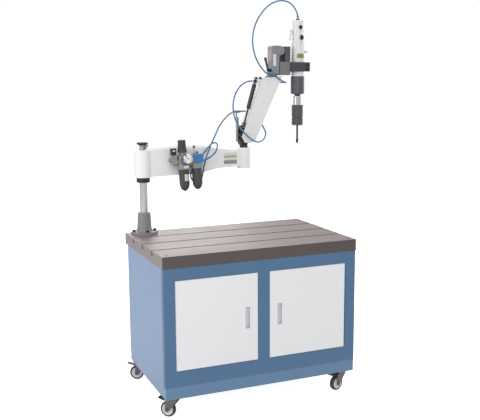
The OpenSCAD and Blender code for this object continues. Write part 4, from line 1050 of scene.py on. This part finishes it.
HOSE_RUNS = (
    Run("feed", (
        (-125.97, 165, 1154.24), (-110.79, 164, 1156.39), (-88.61, 157, 1166.53),
        (-68.43, 150, 1184.68), (-53.25, 148, 1204.82), (-45.07, 158, 1228.97),
        (-46.89, 178, 1240.11), (-57.71, 197, 1235.25), (-73.53, 207, 1218.4),
        (-91.35, 208, 1197.54), (-113.17, 208, 1172.69), (-137.99, 208, 1145.83),
        (-160.81, 207, 1115.98), (-174.63, 205, 1083.12), (-170.46, 203, 1054.27),
        (-149.28, 200, 1038.41), (-124.1, 197, 1046.55), (-113.92, 194, 1073.7),
        (-109.74, 190, 1108.84), (-100.56, 187, 1148.99), (-85.38, 189, 1189.13),
        (-63.2, 199, 1231.28), (-37.02, 214, 1271.42), (3.16, 243, 1324.57), (49.34, 267, 1365.71),
        (85.52, 281, 1386.86), (107.7, 284, 1392)),
        ("arm", "elbow"), (-40, 214, 1270), (104, 284, 1390)),
    Run("loop", (
        (132.3, 284, 1392), (160.27, 288, 1393), (195.24, 299, 1386), (230.21, 304, 1362),
        (258.18, 301, 1332), (275.15, 286, 1300), (276.12, 264, 1270), (250.09, 234, 1243),
        (206.06, 207, 1232), (168.03, 195, 1246), (138, 190, 1268), (107.96, 193, 1300),
        (83.93, 200, 1335), (70.9, 207, 1372), (66.87, 213, 1410), (70.84, 219, 1447),
        (84.81, 227, 1483), (107.78, 240, 1513), (139.75, 259, 1536), (177.72, 280, 1549),
        (213.69, 294, 1552)),
        ("elbow", "boom"), (132, 284, 1392), (256, 284, 1458)),
    Run("head", (
        (286.32, 205, 1590.06), (301.87, 204, 1582.06), (325.43, 204, 1563.05),
        (352.98, 209, 1549.04), (376.53, 226, 1543.04), (385.08, 252, 1542.03),
        (374.63, 280, 1544.02), (343.19, 298, 1548.01), (296.74, 301, 1551.01),
        (238.29, 294, 1552)),
        ("boom", "head"), (300, 292, 1550), (300, 210, 1550)),
    Run("tool", (
        (261.72, 205, 1590.06), (241.74, 197, 1599.11), (220.75, 184, 1614.15),
        (199.77, 171, 1633.19), (179.78, 162, 1659.23), (163.8, 156, 1692.27),
        (153.82, 153, 1733.32), (153.83, 154, 1776.36), (163.85, 158, 1818.4),
        (181.86, 164, 1856.44), (205.88, 171, 1889.48), (235.9, 181, 1919.53),
        (271.91, 192, 1944.57), (311.93, 204, 1960.61), (353.94, 217, 1966.65),
        (393.96, 230, 1960.7), (425.97, 241, 1943.74), (447.99, 249, 1919.78),
        (458.01, 251.6, 1898.82), (460.02, 252, 1886.86)),
        ("head", "tool"), (200, 200, 1645), (430, 200, 1900)))


@dataclass
class Hoses(Assembly):
    """The blue air hose, which runs in four lengths from the air unit to the tool."""

    radius: float = 4.0
    outlet: Point = (103.0, 0.0, 34.0)

    def build(self) -> None:
        for run in HOSE_RUNS:
            path = spline(run.points, 12 * len(run.points))
            piece = self.add(f"air_hose_{run.name}", HOSE_BLUE, None, tube(path, self.radius))
            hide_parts(f"hose_{run.name}")
            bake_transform(piece)
        self._collets()

    def _collets(self) -> None:
        """Slip a push-in ring over each end of each length."""
        inner = self.radius + 0.25
        profile = [(inner, 0.0), (6.2, 0.0), (6.2, 2.4), (5.6, 3.0), (5.6, 4.4), (5.0, 5.0),
                   (inner, 5.0)]
        ends = [("outlet", BLACK_PLASTIC, "arm", air_point(*self.outlet), AIR_RIGHT),
                ("tool", BLACK_PLASTIC, "tool", TOOL_INLET, UP)]
        for name, place, body in (("post", POST_UNION, "elbow"), ("boom", BOOM_UNION, "boom"),
                                  ("head", HEAD_UNION, "head")):
            right_end = (place[0] + UNION_LENGTH, *place[1:])
            ends += [(f"{name}_left", HOSE_BLUE, body, place, LEFT),
                     (f"{name}_right", HOSE_BLUE, body, right_end, RIGHT)]
        for name, finish, body, place, out in ends:
            self.turn(f"hose_collet_{name}", finish, body, profile, place, out)


@dataclass
class Studio:
    """The pale floor, the soft lights and the camera."""

    camera_at: Point = (-1.52780, -3.68496, 1.57705)
    forward: Point = (0.38058, 0.91002, -0.16438)
    right: Point = (0.92218, -0.38672, -0.00581)
    lens: float = 60.174
    floor_reach: float = 14.0
    sky_light: float = 0.52
    sky_seen: float = 1.02
    paper_glow: float = 0.86
    lights: tuple[tuple[str, Point, Point, float, float], ...] = (
        ("left", (-4.2, -0.6, 2.6), (0.0, 0.0, 0.9), 3.2, 62.0),
        ("front", (-1.6, -4.4, 3.4), (0.0, 0.0, 0.9), 3.0, 92.0),
        ("top", (0.4, 0.6, 4.6), (0.0, 0.1, 0.8), 3.0, 52.0),
        ("back", (0.4, 4.4, 2.2), (0.0, 0.2, 0.9), 3.0, 68.0),
        ("right", (4.4, 0.6, 2.2), (0.0, 0.0, 0.9), 3.0, 48.0))

    def build(self) -> None:
        """Place the camera, the floor, the sky and the lights."""
        self._camera()
        self._floor()
        self._sky()
        self._hang_lights()
        settings = bpy.context.scene.view_settings
        settings.view_transform, settings.look = "Standard", "None"
        settings.exposure = 0.0

    def _camera(self) -> None:
        """Set the camera at the photograph's viewing angle."""
        right, forward = Vector(self.right).normalized(), Vector(self.forward).normalized()
        data = bpy.data.cameras.new("camera")
        data.lens, data.sensor_width, data.sensor_fit = self.lens, 36.0, "HORIZONTAL"
        data.clip_end = 60.0
        camera = bpy.data.objects.new("camera", data)
        turn = Matrix((right, right.cross(forward), -forward)).transposed().to_4x4()
        camera.matrix_world = Matrix.Translation(self.camera_at) @ turn
        bpy.context.scene.collection.objects.link(camera)
        bpy.context.scene.camera = camera

    def _floor(self) -> None:
        """Lay a pale floor that runs far past the view."""
        span = np.linspace(-self.floor_reach, self.floor_reach, 3)
        grid = np.stack([*np.meshgrid(span, span, indexing="ij"), np.zeros((3, 3))], -1)
        mesh = grid_mesh("studio_floor", grid, wrap_v=False, caps=False)
        paper = bpy.data.materials.new("studio_paper")
        paper.use_nodes = True
        tree = paper.node_tree
        given = tree.nodes["Principled BSDF"].inputs
        for name, value in (("Base Color", (0.90, 0.90, 0.90, 1.0)), ("Roughness", 0.9),
                            ("Specular IOR Level", 0.0), ("Emission Color", (1.0,) * 4)):
            given[name].default_value = value
        seen = node(tree, "LightPath", {}).outputs["Is Camera Ray"]
        tree.links.new(calc(tree, "MULTIPLY", seen, self.paper_glow),
                       given["Emission Strength"])
        floor = put("studio_floor", mesh, paper)
        if any(face.normal.z < 0 for face in mesh.polygons):
            mesh.flip_normals()

    def _sky(self) -> None:
        """Show pure white behind the object and light it with less."""
        world = bpy.data.worlds.new("soft_white")
        world.use_nodes = True
        tree = world.node_tree
        given = tree.nodes["Background"].inputs
        given["Color"].default_value = (1.0, 1.0, 1.0, 1.0)
        seen = node(tree, "LightPath", {}).outputs["Is Camera Ray"]
        strength = calc(tree, "MULTIPLY_ADD", seen, self.sky_seen - self.sky_light,
                        self.sky_light)
        tree.links.new(strength, given["Strength"])
        bpy.context.scene.world = world

    def _hang_lights(self) -> None:
        """Hang the square soft lights, given as name, place, target, side and watts."""
        for name, place, target, size, power in self.lights:
            data = bpy.data.lights.new(name, "AREA")
            data.size, data.energy = size, power
            light = bpy.data.objects.new(name, data)
            light.location = place
            aim = Vector(target) - Vector(place)
            light.rotation_euler = aim.to_track_quat("-Z", "Y").to_euler()
            bpy.context.scene.collection.objects.link(light)


def main() -> None:
    """Build the looks in order."""
    logging.basicConfig(level=logging.INFO, format="%(name)s %(message)s")
    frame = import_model()
    Studio().build()
    for assembly in (Hoses, Bench, Castors, Column, LowerArm, AirUnit, Elbow, UpperArm, Head,
                     Tool):
        assembly(frame["nodes"]).build()
        LOG.info("%s built", assembly.__name__)


if __name__ == "__main__":
    main()
